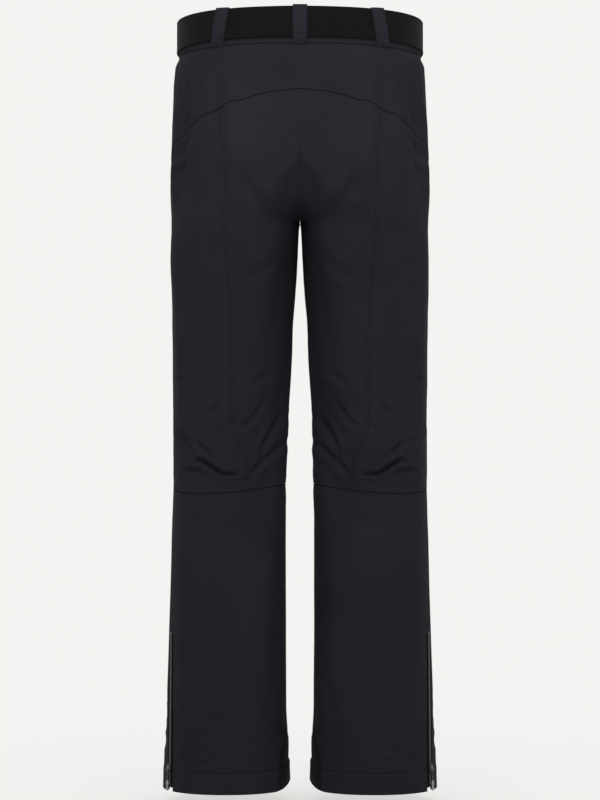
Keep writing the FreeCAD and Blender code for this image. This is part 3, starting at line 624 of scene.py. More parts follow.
# ---------------------------------------------------------------- stitches
def stitches(name, lines, material, pitch=3.3, long=2.5, r=0.32, body="pants"):
    """Thread along lines of (points, directions) on the cloth."""
    verts, faces = [], []
    for points, outward in lines:
        run = run_of(points)
        if run[-1] < 2 * pitch:
            continue

        def along(v, at):
            return np.stack([np.interp(at, run, v[:, k]) for k in range(3)], 1)

        at = np.arange(pitch / 2, run[-1] - pitch / 2, pitch)
        mid = along(points, at)
        ahead = unit(along(points, at + 0.5) - mid)
        side = unit(np.cross(along(outward, at), ahead))
        n = np.cross(ahead, side)
        mid = mid + n * 0.1
        ring = [mid - ahead * long / 2 - n * r * 0.6, mid + side * r, mid + n * r * 0.9, mid - side * r,
                mid - n * r, mid + ahead * long / 2 - n * r * 0.6]
        base = len(verts)
        verts.extend(np.stack(ring, 1).reshape(-1, 3).tolist())
        for k in range(len(mid)):
            o = base + 6 * k
            for a, b in ((1, 2), (2, 3), (3, 4), (4, 1)):
                faces.append((o, o + a, o + b))
                faces.append((o + 5, o + b, o + a))
    return new_object(name, verts, faces, material, body=body, sharp=89)


def sewn_lines(patch, edges):
    """Lines of the patch's grid that carry stitching, beside the edges named in a string."""
    down = slice(None)
    at = {"first": STITCH_ROW, "last": -1 - STITCH_ROW, "top": (down, STITCH_ROW),
          "bottom": (down, -1 - STITCH_ROW), "hem": (down, -1 - HEM_STITCH_ROW)}
    return [(patch.face[at[edge]], patch.n[at[edge]]) for edge in edges.split()]


# ---------------------------------------------------------------- cloth simulation
CLOTH_FRAMES, FOLD_STEP = 30, 8.0      # length of the simulation, and the height of its cells


class Folds:
    """Folds that the filled cloth settles into, over t and height on the left leg."""

    def __init__(self):
        self.t = np.linspace(0, 1, 65)
        self.z = np.arange(-52.0, -1050.0, -FOLD_STEP)
        self.height = None

    def at(self, patch):
        """The folds at a patch's points, or 0 where nothing was simulated."""
        if self.height is None:
            return 0.0
        i = np.clip(np.where(patch.t < 0, patch.t + 1, patch.t), 0, 1) * (len(self.t) - 1)
        j = np.clip((self.z[0] - patch.z) / FOLD_STEP, 0, len(self.z) - 1.001)
        a, b = np.minimum(i.astype(int), len(self.t) - 2), j.astype(int)
        p, q = i - a, j - b
        h = self.height
        return ((h[a, b] * (1 - p) + h[a + 1, b] * p) * (1 - q)
                + (h[a, b + 1] * (1 - p) + h[a + 1, b + 1] * p) * q)

    def simulate(self, cap=4.0):
        """The garment's tube as coarse cloth, held softly in its worn shape with a little spare cloth."""
        tt, zz = np.meshgrid(self.t, self.z, indexing="ij")
        base = ray(angle_at(tt, zz), zz)
        n = facing(base)
        index = np.arange(base[..., 0].size).reshape(base.shape[:2])
        index[-1] = np.where(self.z <= CROTCH_Z, index[0], index[-1])
        quads = np.stack((index[:-1, :-1], index[1:, :-1], index[1:, 1:], index[:-1, 1:]), -1).reshape(-1, 4)
        mesh = mesh_from("cloth", base.reshape(-1, 3), quads.tolist())
        obj = add_object("cloth", mesh)
        hold, spare = obj.vertex_groups.new(name="hold"), obj.vertex_groups.new(name="spare")
        ends = (zz > -70) | (zz < -1020) | ((zz > CROTCH_Z - 8) & ((tt < 0.01) | (tt > 0.99)))
        knee = np.exp(-((zz + 600) / 70) ** 2) * np.clip(n[..., 1] + 0.4, 0, 1)
        seat = np.exp(-((zz + 250) / 50) ** 2)
        for k, (firm, more) in enumerate(zip(ends.ravel(), np.maximum(knee, 0.6 * seat).ravel())):
            hold.add([k], 1.0 if firm else 0.12, "REPLACE")
            spare.add([k], float(more), "REPLACE")
        cloth = obj.modifiers.new("cloth", "CLOTH")
        use = cloth.settings
        use.quality, use.mass, use.air_damping = 5, 0.25, 4.0
        use.tension_stiffness = use.compression_stiffness = 12.0
        use.shear_stiffness, use.bending_stiffness = 4.0, 0.35
        use.vertex_group_mass, use.pin_stiffness = "hold", 0.6
        use.vertex_group_shrink, use.shrink_min, use.shrink_max = "spare", -0.012, -0.05
        use.effector_weights.gravity = 0.5
        for frame_number in range(1, CLOTH_FRAMES + 1):
            bpy.context.scene.frame_set(frame_number)
        settled = obj.evaluated_get(bpy.context.evaluated_depsgraph_get())
        at = np.empty(len(mesh.vertices) * 3)
        settled.data.vertices.foreach_get("co", at)
        height = (((at.reshape(-1, 3) / MM)[index] - base) * n).sum(-1)
        bpy.context.scene.frame_set(1)
        bpy.data.objects.remove(obj)
        wide = height.copy()
        for _ in range(60):
            wide[1:-1, 1:-1] = (wide[:-2, 1:-1] + wide[2:, 1:-1] + wide[1:-1, :-2] + wide[1:-1, 2:]) / 4
        self.height = np.clip(height - wide, -cap, cap)


simulated = Folds()
simulated.simulate()


# ---------------------------------------------------------------- materials
class Shader:
    """A material's nodes, with short calls for what repeats."""

    def __init__(self, name, color, roughness, **sockets):
        self.mat = bpy.data.materials.new(name)
        self.mat.use_nodes = True
        self.mat.diffuse_color = (*color, 1)
        self.tree = self.mat.node_tree
        self.main = self.tree.nodes["Principled BSDF"]
        self.main.inputs["Base Color"].default_value = (*color, 1)
        self.main.inputs["Roughness"].default_value = roughness
        self.color, self.roughness = color, roughness
        for key, value in sockets.items():
            self.main.inputs[key.replace("_", " ")].default_value = value

    def add(self, kind, *links, **settings):
        node = self.tree.nodes.new("ShaderNode" + kind)
        for key, value in settings.items():
            if key in ("operation", "uv_map", "blend_type", "data_type", "feature", "wave_type",
                       "bands_direction"):
                setattr(node, key, value)
            else:
                node.inputs[key].default_value = value
        for place, link in enumerate(links):
            if link is not None:
                if isinstance(link, (int, float)):
                    node.inputs[place].default_value = link
                else:
                    self.tree.links.new(link, node.inputs[place])
        return node

    def math(self, operation, *links):
        return self.add("Math", *links, operation=operation).outputs[0]

    def weigh(self, a, share_a, b, share_b):
        """The sum of a and b by their shares."""
        return self.math("ADD", self.math("MULTIPLY", a, share_a), self.math("MULTIPLY", b, share_b))

    def wave(self, source, pitch):
        return self.math("SINE", self.math("MULTIPLY_ADD", source, 2 * math.pi / pitch, 0.0))

    def noise(self, scale, detail=3.0):
        where = self.add("TexCoord").outputs["Object"]
        return self.add("TexNoise", where, Scale=scale, Detail=detail).outputs[0]

    def tint(self, amount, low=0.75, high=1.25):
        """Colour that varies with amount, from low to high times the base colour."""
        ramp = self.add("ValToRGB", amount)
        for stop, share, spot in zip(ramp.color_ramp.elements, (low, high), (0.3, 0.7)):
            stop.position = spot
            stop.color = (*[c * share for c in self.color], 1)
        self.tree.links.new(ramp.outputs[0], self.main.inputs["Base Color"])
        return self

    def rough(self, amount, spread):
        out = self.math("MULTIPLY_ADD", amount, spread, self.roughness - spread / 2)
        self.tree.links.new(out, self.main.inputs["Roughness"])
        return self

    def bump(self, height, strength, depth):
        out = self.add("Bump", Strength=strength, Distance=depth)
        self.tree.links.new(height, out.inputs["Height"])
        self.tree.links.new(out.outputs[0], self.main.inputs["Normal"])
        return self


def woven(name, color, roughness=0.85, pitch=0.0007, kind="plain", strength=0.5, sheen=0.15, contrast=0.18):
    """Cloth with threads at their real spacing, uneven yarn, slight colour drift and soft sheen."""
    s = Shader(name, color, roughness, Sheen_Weight=sheen, Sheen_Roughness=0.45, Specular_IOR_Level=0.06)
    s.main.inputs["Sheen Tint"].default_value = (*[min(1, c * 6 + 0.25) for c in color], 1)
    uv = s.add("SeparateXYZ", s.add("UVMap", uv_map="weave").outputs[0])
    across, along = uv.outputs[0], uv.outputs[1]
    if kind == "twill":
        threads = s.math("ADD", s.wave(s.math("ADD", across, along), pitch),
                         s.math("MULTIPLY", s.wave(along, pitch * 0.7), 0.35))
    elif kind == "rib":
        threads = s.math("ADD", s.wave(along, pitch), s.math("MULTIPLY", s.wave(across, pitch * 0.6), 0.45))
    elif kind == "herringbone":
        fold = s.math("ABSOLUTE", s.math("SUBTRACT", s.math("FRACT", s.math("MULTIPLY", across, 250)), 0.5))
        threads = s.wave(s.math("ADD", along, s.math("MULTIPLY", fold, 0.004)), pitch)
    else:
        threads = s.math("MULTIPLY", s.wave(across, pitch), s.wave(along, pitch))
    yarn = s.noise(1500, 2.0)
    height = s.weigh(threads, 0.5, yarn, 0.9)
    drift = s.weigh(s.noise(9, 4.0), 0.75, yarn, 0.25)
    drift = s.math("ADD", drift, s.math("MULTIPLY", threads, 0.05))
    return s.tint(drift, 1 - contrast, 1 + contrast).rough(drift, 0.12).bump(height, strength, 0.00025).mat


def metal(name, color, roughness=0.35, wear=0.25):
    """Plated metal, duller in patches and brighter where it rubs."""
    s = Shader(name, color, roughness, Metallic=1.0)
    patches, fine = s.noise(160, 5.0), s.noise(2600, 2.0)
    mixed = s.weigh(patches, 0.7, fine, 0.3)
    return s.tint(mixed, 1 - wear, 1 + wear).rough(mixed, 0.3).bump(fine, 0.15, 0.0001).mat


SHELL = woven("softshell", (0.0126, 0.0120, 0.0166), 0.9, kind="twill", pitch=0.0009, strength=0.35,
              sheen=0.01)
GUARD = woven("guard_weave", (0.0064, 0.0068, 0.0066), 0.85, pitch=0.0014, strength=0.7, sheen=0.02)
FACING = woven("facing_weave", (0.012, 0.012, 0.015), pitch=0.0008)
LINING = woven("taffeta", (0.030, 0.030, 0.036), 0.55, pitch=0.0004, strength=0.3, sheen=0.3)
WADDING = woven("wadding_fleece", (0.52, 0.52, 0.51), 0.95, pitch=0.004, strength=0.9, sheen=0.4)
ELASTIC = woven("ribbed_elastic", (0.0031, 0.0031, 0.0032), 0.8, pitch=0.0013, kind="rib", strength=0.8,
                sheen=0.12)
LABEL = woven("satin_label", (0.70, 0.70, 0.67), 0.5, pitch=0.0004, strength=0.2)
TAPE = woven("zip_tape_weave", (0.0045, 0.0045, 0.0047), 0.85, pitch=0.0011, kind="herringbone")
THREAD = woven("thread", (0.0135, 0.013, 0.0172), 0.7, pitch=0.0003, sheen=0.05)
TEETH = metal("zip_teeth_metal", (0.085, 0.085, 0.09), 0.45)
# The pull's rings get a lighter metal than the stem of the same cast pull: a painted highlight where the
# rings catch the light.
PULL_RING_HIGHLIGHT_METAL = metal("antique_nickel", (0.24, 0.237, 0.232), 0.32, 0.5)
CAST = metal("slider_metal", (0.05, 0.05, 0.052), 0.4, 0.4)
BUCKLE = metal("dark_nickel", (0.06, 0.06, 0.063), 0.36, 0.3)


# ---------------------------------------------------------------- hard pieces and straps
class Place:
    """A straight local frame in millimetres: u along, n outward, w across."""

    def __init__(self, origin, u, n):
        self.o = np.array(origin, float)
        self.u = unit(np.array(u, float))
        self.w = unit(np.cross(self.u, n))
        self.n = np.cross(self.w, self.u)

    def points(self, uwn):
        """Points of the garment from (u, w, n) coordinates."""
        p = np.asarray(uwn, float)
        return self.o + p[..., :1] * self.u + p[..., 1:2] * self.w + p[..., 2:] * self.n

    def local(self, points):
        """(u, w, n) coordinates of points of the garment."""
        return (np.asarray(points) - self.o) @ np.stack((self.u, self.w, self.n), 1)


def zip_place(name, pull, down):
    """The zip's frame, from the joints that its slider and its pull move on."""
    u, w = np.array(JOINTS[name]["axis"], float), np.array(JOINTS[pull]["axis"], float)
    n = np.cross(w, u)
    pivot = np.array(JOINTS[pull]["pos_m"], float) / MM
    return Place(pivot - u * down * PIVOT_U - n * PIVOT_N, u, n)


def mirrored_place(place):
    """The same frame on the right side."""
    return Place(*(v * (-1, 1, 1) for v in (place.o, place.u, place.n)))


def circle(count):
    """Even angles all the way round."""
    return np.linspace(0, 2 * math.pi, count, endpoint=False)


def skin(rings, sides, twist=None):
    """Faces over rings of points, with a cap at each end, or closed on itself with a twist."""
    faces = []
    for k in range(rings if twist is not None else rings - 1):
        m = (k + 1) % rings
        turn = 0 if m else twist
        faces += [(k * sides + i, k * sides + (i + 1) % sides, m * sides + (i + 1 + turn) % sides,
                   m * sides + (i + turn) % sides) for i in range(sides)]
    if twist is None:
        faces += [tuple(range(sides))[::-1], tuple(range((rings - 1) * sides, rings * sides))]
    return faces


class Shape:
    """Closed solids in a place's frame, gathered into one piece."""

    def __init__(self, place):
        self.place, self.verts, self.faces, self.uvs = place, [], [], []

    def solid(self, verts, faces, uvs=None):
        base = sum(len(v) for v in self.verts)
        self.verts.append(np.asarray(verts, float))
        self.uvs.append(np.asarray(verts, float)[:, :2] if uvs is None else np.asarray(uvs, float))
        self.faces += [tuple(int(i) + base for i in f) for f in faces]
        return self

    def slab(self, outline, low, high, axis=2, bevel=0.25, hole=None):
        """Outline of points pushed along an axis (0 u, 1 w, 2 n), with rounded edges and maybe a hole."""
        mesh = bmesh.new()
        order = [k for k in (0, 1, 2) if k != axis]

        def ring(points, level):
            out = []
            for a, b in points:
                co = [0.0, 0.0, 0.0]
                co[order[0]], co[order[1]], co[axis] = a, b, level
                out.append(mesh.verts.new(co))
            return out

        rings = [(ring(points, low), ring(points, high)) for points in ([outline] + ([hole] if hole else []))]
        for bottom, top in rings:
            for k in range(len(bottom)):
                mesh.faces.new((bottom[k - 1], bottom[k], top[k], top[k - 1]))
        for level in (0, 1):
            if hole:
                a, b = rings[0][level], rings[1][level]
                for k in range(len(a)):
                    mesh.faces.new((a[k - 1], a[k], b[k], b[k - 1]))
            else:
                mesh.faces.new(rings[0][level])
        bmesh.ops.recalc_face_normals(mesh, faces=mesh.faces)
        if bevel:
            sharp = [e for e in mesh.edges if len(e.link_faces) == 2 and e.calc_face_angle() > 0.5]
            bmesh.ops.bevel(mesh, geom=sharp, offset=bevel, segments=2, affect="EDGES", profile=0.6)
        mesh.verts.index_update()
        self.solid([v.co[:] for v in mesh.verts], [[v.index for v in f.verts] for f in mesh.faces])
        mesh.free()
        return self

    def tube(self, path, radius, sides=10, closed=False):
        """Round bar along a path, with flat ends."""
        path = np.asarray(path, float)
        radius = np.broadcast_to(radius, len(path)).astype(float)
        ahead = unit(np.roll(path, -1, 0) - np.roll(path, 1, 0) if closed else np.gradient(path, axis=0))
        side = np.cross(ahead, (0.31, 0.52, 0.79))
        for k in range(1, len(path)):
            side[k] = side[k - 1] - ahead[k] * (side[k - 1] @ ahead[k])
        side = unit(side)
        up = np.cross(ahead, side)
        turn = circle(sides)[None, :, None]
        ring = side[:, None] * np.cos(turn) + up[:, None] * np.sin(turn)
        verts = (path[:, None] + ring * radius[:, None, None]).reshape(-1, 3)
        twist = None
        if closed:
            twist = int(np.argmin(np.linalg.norm(verts[:sides] - verts[-sides], axis=1)))
        return self.solid(verts, skin(len(path), sides, twist))

    def ring(self, centre, radius, thick, sides=12, around=32):
        """Round bar bent into a ring that lies flat on the frame."""
        turn = circle(around)
        path = np.stack((radius * np.cos(turn), radius * np.sin(turn), 0 * turn), 1)
        return self.tube(path + centre, thick, sides, closed=True)

    def lathe(self, profile, around=36):
        """Outline of (radius, n) points turned about n."""
        verts = [(r * math.cos(a), r * math.sin(a), n) for r, n in profile for a in circle(around)]
        return self.solid(verts, skin(len(profile), around))

    def strap(self, path, half, thick, side=(0, 1, 0), across=9):
        """Flat folded strip along a path, with soft rounded edges."""
        path = np.asarray(path, float)
        up = unit(np.cross(unit(np.gradient(path, axis=0)), side))
        half = np.broadcast_to(half, len(path)).astype(float)
        s = np.sin(np.linspace(-1, 1, across) * math.pi / 2)
        crown = 0.5 * thick * (np.clip(1 - s ** 2, 0, 1) ** 0.16)
        outline = [*zip(s, crown), *list(zip(s[::-1], -crown[::-1]))[1:-1]]
        verts, uvs = [], []
        for p, h, u, r in zip(path, half, up, run_of(path)):
            for a, c in outline:
                verts.append(p + np.array(side) * a * h + u * c)
                uvs.append((a * h, r))
        return self.solid(verts, skin(len(path), len(outline)), uvs)

    def build(self, name, material, body="pants", replaces=(), sharp=40):
        verts = self.place.points(np.concatenate(self.verts))
        return new_object(name, verts, self.faces, material, body=body, uvs=np.concatenate(self.uvs),
                          sharp=sharp, replaces=replaces)


def rounded(half_a, half_b, r, steps=5, middle=(0, 0)):
    """Outline of a rectangle with rounded corners."""
    out = []
    for k, (sa, sb) in enumerate(((1, 1), (-1, 1), (-1, -1), (1, -1))):
        for turn in np.linspace(k, k + 1, steps) * math.pi / 2:
            out.append((middle[0] + sa * (half_a - r) + r * math.cos(turn),
                        middle[1] + sb * (half_b - r) + r * math.sin(turn)))
    return out


def wall_place(t, z):
    """Frame on the waistband: u up along the wall, n outward, w along the waist."""
    low, high = (sloped(ray(angle_at(t, np.array([h])), np.array([h])))[0] for h in (-WAISTBAND_H, 0.0))
    up = unit(high - low)
    return Place(high + up * (z / up[2]), up, facing(ray(angle_at(t, np.array([z])), np.array([z])))[0])


def wall_t(x, centre=1.0, z=-21.0):
    """t on the waistband at a distance x from its centre front, or centre back with centre 0."""
    t = np.linspace(0.5, centre, 400)
    zs = np.full_like(t, z)
    return float(np.interp(-x, -ray(angle_at(t, zs), zs)[:, 0], t))


def on_cloth(x, y, z):
    """The points of the left half's outer face nearest to given x and z, on y's side, and its directions."""
    x, y, z = (np.asarray(v, float) for v in (x, y, z))
    before = z
    for _ in range(14):
        cx, cy = section(before)[:2]
        p = ray(np.arctan2(y - cy, x - cx), before)
        y = y + 0.7 * (p[..., 1] - y)
        before = z + drop(p[..., 1], before)
    return sloped(p), facing(p)


def cut_out(obj, place, u, w, n):
    """A straight-sided opening through a piece."""
    corners = [place.points((a, b, c)) for a in u for b in w for c in n]
    mesh = mesh_from("cutter", corners, [(0, 1, 3, 2), (4, 6, 7, 5), (0, 4, 5, 1), (2, 3, 7, 6), (0, 2, 6, 4),
                                         (1, 5, 7, 3)])
    face_outward(mesh)
    tool = add_object("cutter", mesh)
    change = obj.modifiers.new("cut", "BOOLEAN")
    change.operation, change.object, change.solver = "DIFFERENCE", tool, "EXACT"
    result = bpy.data.meshes.new_from_object(obj.evaluated_get(bpy.context.evaluated_depsgraph_get()))
    obj.modifiers.remove(change)
    obj.data = result
    bpy.data.objects.remove(tool)


PIVOT_U, PIVOT_N = 2.4, 2.65       # a pull's hinge, from its slider's middle
SIDES = (("left", 1), ("right", -1))
ANKLE = zip_place("ankle_zip_left", "ankle_pull_swing_left", -1)
POCKET = zip_place("pocket_zip_left", "pocket_pull_swing_left", 1)
FLY = zip_place("fly_zip", "fly_pull_swing", 1)
ANKLE_LENGTH, POCKET_LENGTH, FLY_LENGTH = 182.6, 130.7, 125.0
# Beside these lines, which run past the ends of the zips, the cloth keeps its shape.
STIFF_LINES = [(ANKLE.points((-30, 0, 0)), ANKLE.points((ANKLE_LENGTH + 6, 0, 0))),
               (POCKET.points((-12, 0, 0)), POCKET.points((POCKET_LENGTH + 6, 0, 0))),
               (FLY.points((-12, 0, 0)), FLY.points((FLY_LENGTH + 12, 0, 0)))]


# ---------------------------------------------------------------- outer shell
ZIP_HALF = {1: 10.0, -1: 6.4}       # the side seam opens this far behind and in front of the ankle zip
POCKET_HALF = 5.7
FRONT_THICK = 1.6                   # thinner than the other panels, to clear the fly's pull
GUARD_TOP_Z = -934.5
GUARD_Y = [(HEM_Z - 8, 55), (HEM_Z + 32, 51), (HEM_Z + 76, 29), (HEM_Z + 98, 13), (GUARD_TOP_Z, 1.6)]


def ease(x):
    """A smooth step from 0 to 1."""
    x = np.clip(x, 0, 1)
    return x * x * (3 - 2 * x)


def zip_side(sign):
    """The side seam, opened for the ankle zip behind it with sign 1 or in front of it with -1."""
    return shifted(side_seam, lambda z: sign * ZIP_HALF[sign] * ease((ZIP_TOP_Z + 7 - z) / 7))


def guard_edge(sign):
    """The arched scuff guard's edge at the inner ankle, behind with sign 1 or in front with -1."""
    def edge(z):
        z = np.asarray(z, float)
        want = 3.0 + sign * curve(GUARD_Y, z)
        _, hi = bisect(np.full_like(z, 0.5 * math.pi), np.full_like(z, math.pi), 26,
                       lambda angle: (ray(sign * angle, z)[..., 1] - want) * sign > 0)
        return np.where(z < GUARD_TOP_Z, sign * hi, sign * math.pi)
    return edge


threads = []


def both(patch, name, node, material, height, thick=2.0, share=1.0, spread=0.0, sewn="", wrap=False):
    """The patch built on both legs, and its stitching noted. SIDE in a name becomes left or right."""
    made = []
    for side_name, side in SIDES:
        one = (patch if side == 1 else patch.mirrored()).lift(height, share, spread)
        piece, stands_for = (text.replace("SIDE", side_name) for text in (name, node))
        made.append(one.build(piece, material, thick, wrap, replaces=(stands_for,)))
        threads.extend(sewn_lines(one, sewn))
    return made


def panel(patch, name, height, material=SHELL, **more):
    return both(patch, f"{name}_SIDE_cloth", f"{name}_SIDE", material, height, **more)


HEM_RISE, HEM_H = 10.0, 30.0       # at the inner ankle, and the height of the turned-up hem


def hem(t):
    """The hem rises a little at the inner ankle."""
    to_inner = np.minimum(np.abs(t), np.abs(1 - t))
    return HEM_Z + HEM_RISE / 2 * (1 + np.cos(math.pi * np.minimum(to_inner / 0.12, 1)))


yoke = Patch(0.0, 0.5, -WAISTBAND_H, yoke_z, cols_first=[0])
yoke_height = seam(yoke.from_top, 1.0) + seam(yoke.from_bottom, 1.4) + seam(yoke.from_last)
right_yoke = yoke.mirrored().lift(yoke_height + 0.3 * pucker(yoke.base * (-1, 1, 1), yoke.from_bottom))
yoke.lift(yoke_height + 0.3 * pucker(yoke.base, yoke.from_bottom))
yoke.joined(right_yoke).build("back_yoke_cloth", SHELL, replaces=("back_yoke",))

centre = Patch(0.0, princess, yoke_z, knee_z, (True, False), BACK_STEP)
height = (seams(centre, 1.2, 1.4) + 0.25 * np.exp(-((centre.from_top - 2.0) / 1.6) ** 2)
          + stitched(centre.from_first) + stitched(centre.from_last, depth=0.75)
          + 0.5 * pucker(centre.base, centre.from_last) + pucker(centre.base, centre.from_bottom))
panel(centre, "back_center_panel", height, sewn="first last")

outer = Patch(princess, 0.5, yoke_z, knee_z, step=BACK_STEP)
height = (seams(outer, 1.2, 1.4) + stitched(outer.from_last) + pucker(outer.base, outer.from_first)
          + pucker(outer.base, outer.from_bottom))
panel(outer, "back_side_panel", height, sewn="last")

calf = Patch(guard_edge(1), zip_side(1), knee_z, hem, rows_bottom=HEM_ROWS)
height = (seams(calf, 1.4) + stitched(calf.from_top) + turned_up(calf.from_bottom)
          + pucker(calf.base, calf.from_top) + 0.5 * pucker(calf.base, np.abs(calf.from_bottom - HEM_H)))
panel(calf, "calf_panel", height, sewn="first top hem")

thigh = Patch(1.0, 0.5, -WAISTBAND_H, KNEE_TOP_Z, (True, False))
height = (seams(thigh, 1.0, 1.3, first=0.5) + stitched(thigh.from_first)
          + pucker(thigh.base, thigh.from_bottom) + 0.3 * pucker(thigh.base, thigh.from_first))
pieces = panel(thigh, "front_thigh_panel", height, thick=FRONT_THICK, sewn="first bottom")
for piece, place in zip(pieces, (POCKET, mirrored_place(POCKET))):
    cut_out(piece, place, (-13, POCKET_LENGTH + 6), (-POCKET_HALF, POCKET_HALF), (-9, 9))

knee = Patch(side_seam, 1.0, KNEE_TOP_Z, SHIN_TOP_Z)
height = (seams(knee, 1.3, 1.3) + stitched(knee.from_top) + stitched(knee.from_bottom)
          + pucker(knee.base, knee.from_top) + pucker(knee.base, knee.from_bottom))
panel(knee, "knee_panel", height, sewn="top bottom")

shin = Patch(zip_side(-1), guard_edge(-1), SHIN_TOP_Z, hem, rows_bottom=HEM_ROWS)
height = (seams(shin, 1.3) + turned_up(shin.from_bottom) + pucker(shin.base, shin.from_top)
          + 0.5 * pucker(shin.base, np.abs(shin.from_bottom - HEM_H)))
panel(shin, "shin_panel", height, sewn="last hem")


def across_front(edge):
    """The same edge, for a patch that runs through the inner side of the leg."""
    return lambda z: 2 * math.pi + edge(z)


guard = Patch(guard_edge(1), across_front(guard_edge(-1)), GUARD_TOP_Z - 1.0, hem, rows_bottom=HEM_ROWS,
              rows_top=PLAIN)
height = (seams(guard, first=1.2, last=1.2) + stitched(guard.from_first) + stitched(guard.from_last)
          + turned_up(guard.from_bottom))
panel(guard, "scuff_guard", height, GUARD, sewn="first last hem")


# ---------------------------------------------------------------- waistband and belt
def joined_pair(patch, height):
    """A patch that starts at the centre back, together with its mirror image, without folds."""
    right = patch.mirrored().lift(height, 0.0)
    return patch.lift(height, 0.0).joined(right)


def front_pair(patch, height):
    """The same for a patch that ends at the centre front."""
    for key in GRIDS:
        setattr(patch, key, getattr(patch, key)[::-1])
    patch.from_first, patch.from_last = patch.from_last, patch.from_first
    return joined_pair(patch, height)


def ring_piece(name, t_end, top, bottom, height, thick, material, node, rows=PLAIN, step=4.0,
               rise=lambda patch: 0.0):
    """A strip round the back of the waist, from one front edge to the other."""
    half = Patch(0.0, t_end, top, bottom, rows=rows, cols_first=[0], step=step)
    whole = joined_pair(half, height + rounded_off(near_edge(half, first=False)) + rise(half))
    whole.build(name, material, thick, replaces=(node,))
    return whole


BAND_ROWS = [0, 0.5, 1.2, 2.0, 3.4, 4.6, 5.0, 5.4, 6.2]
band = ring_piece("waistband_cloth", 0.9975, 0.4, -WAISTBAND_H, 0.0, 2.0, SHELL, "waistband", BAND_ROWS,
                  rise=lambda p: (stitched(p.from_bottom, 5.0) + seam(p.from_bottom, 0.9)
                                  + stitched(p.from_top, 5.0) + pucker(p.base, p.from_bottom)))
threads += sewn_lines(band, "top bottom")
ring_piece("waistband_facing_cloth", 0.93, -0.6, -49.0, -2.6, 1.0, FACING, "waistband_facing")
ring_piece("belt_webbing_elastic", wall_t(22.3), -0.2, -42.2, 3.2, 1.8, ELASTIC, "belt_webbing", BAND_ROWS,
           2.0, rise=lambda p: 0.22 * np.exp(-((np.minimum(p.from_top, p.from_bottom) - 1.4) / 0.9) ** 2)
           + 0.12 * noise(p.base, 26, 8))


def front_strip(name, x_from, x_to, top, bottom, height, thick, material, node):
    """A strip on the left half of the front of the waist."""
    strip = Patch(wall_t(x_from), wall_t(x_to), top, bottom, step=2.5, rows=PLAIN)
    strip.lift(height + rounded_off(near_edge(strip)), 0.0)
    strip.build(name, material, thick, replaces=(node,))


front_strip("belt_tail_elastic", 80.0, 22.3, -0.8, -40.2, 5.4, 1.8, ELASTIC, "belt_tail")
front_strip("belt_tip_cap", 89.0, 79.6, -0.3, -40.7, 5.7, 2.2, BUCKLE, "belt_tip")

underlap = Patch(0.945, 1.0, -1.5, -48.0, rows=PLAIN, cols_last=[0], step=4)
front_pair(underlap, -3.9).build("waistband_underlap_cloth", FACING, 1.2, replaces=("waistband_underlap",))
shield = Patch(0.93, 1.0, -55.0, -216.0, rows=PLAIN, cols_last=[0], step=5)
front_pair(shield, -16.0).build("fly_shield_cloth", FACING, 1.0, replaces=("fly_shield",))
label = Patch(0.0, 0.035, -58.0, -98.0, rows=PLAIN, cols_first=[0], step=2)
wavy = -10.4 - 0.15 * np.sin(label.base[..., 2] / 7)
joined_pair(label, wavy).build("care_label_ribbon", LABEL, 0.3, replaces=("care_label",))

LOOP_HALF = 9.75
LOOP_TOP, LOOP_FOOT, LOOP_OUT = 1.6, -51.0, 4.35


tacks = []


def belt_loop(name, places, node, lean=0.0):
    """Loops of folded cloth, sewn down below the belt and folded over the band's top edge."""
    verts, faces, uvs, base = [], [], [], 0
    front = [(LOOP_TOP - 0.6, 0.9), (LOOP_TOP, 2.2), (LOOP_TOP - 0.1, 3.5), (LOOP_TOP - 1.4, LOOP_OUT),
             (-6, LOOP_OUT + 0.1), (-14, LOOP_OUT), (-24, LOOP_OUT), (-32, LOOP_OUT + 0.15),
             (-36, LOOP_OUT + 0.1), (-37.5, LOOP_OUT - 0.2), (-38.4, LOOP_OUT - 0.6)]
    halves = [LOOP_HALF] * 8 + [LOOP_HALF - 0.8, LOOP_HALF - 2.6, LOOP_HALF - 5.5]
    under = [(-28, LOOP_OUT - 0.95), (-38, LOOP_OUT - 0.9), (-43, LOOP_OUT - 1.2), (-46.5, 2.4),
             (-49.5, 1.5), (LOOP_FOOT, 1.0)]
    for place in places:
        way = -(np.sign(place.w[0]) or 1.0) * np.sign(place.o[0])

        def at(u, n, w=0.0):
            return u, way * np.interp(u, (LOOP_FOOT, LOOP_TOP), (0, lean)) + w, n

        shape, tack = Shape(place), Shape(place)
        shape.strap([at(u, n) for u, n in front], halves, 1.25)
        shape.strap([at(u, n) for u, n in under], LOOP_HALF - 0.3, 1.2)
        for w in (1.0 - LOOP_HALF, LOOP_HALF - 1.0):
            shape.tube(smooth([at(u, n + 0.45, w) for u, n in front[3:9]], 4), 0.55, 8)
        for w in np.arange(-7.5, 7.6, 1.0):
            mid = at(-47.4, 2.75, w)
            tack.tube([np.add(mid, (-1.1, 0, -0.35)), mid, np.add(mid, (1.1, 0, 0.35))], 0.4, 6)
        tacks.append(tack)
        verts.append(place.points(np.concatenate(shape.verts)))
        uvs.append(np.concatenate(shape.uvs))
        faces += [tuple(i + base for i in f) for f in shape.faces]
        base += len(verts[-1])
    new_object(name, np.concatenate(verts), faces, SHELL, uvs=np.concatenate(uvs), replaces=(node,))


side_loop, front_loop = wall_place(wall_t(109.0, 0.0), 0.0), wall_place(wall_t(106.0), 0.0)
belt_loop("belt_loop_back_cloth", [wall_place(0.0, 0.0)], "belt_loop_back")
belt_loop("belt_loops_side_cloth", [side_loop, mirrored_place(side_loop)], "belt_loops_side", lean=6.0)
belt_loop("belt_loops_front_cloth", [front_loop, mirrored_place(front_loop)], "belt_loops_front", lean=3.0)
for k, tack in enumerate(tacks):
    tack.build(f"bar_tack_{k}", THREAD)

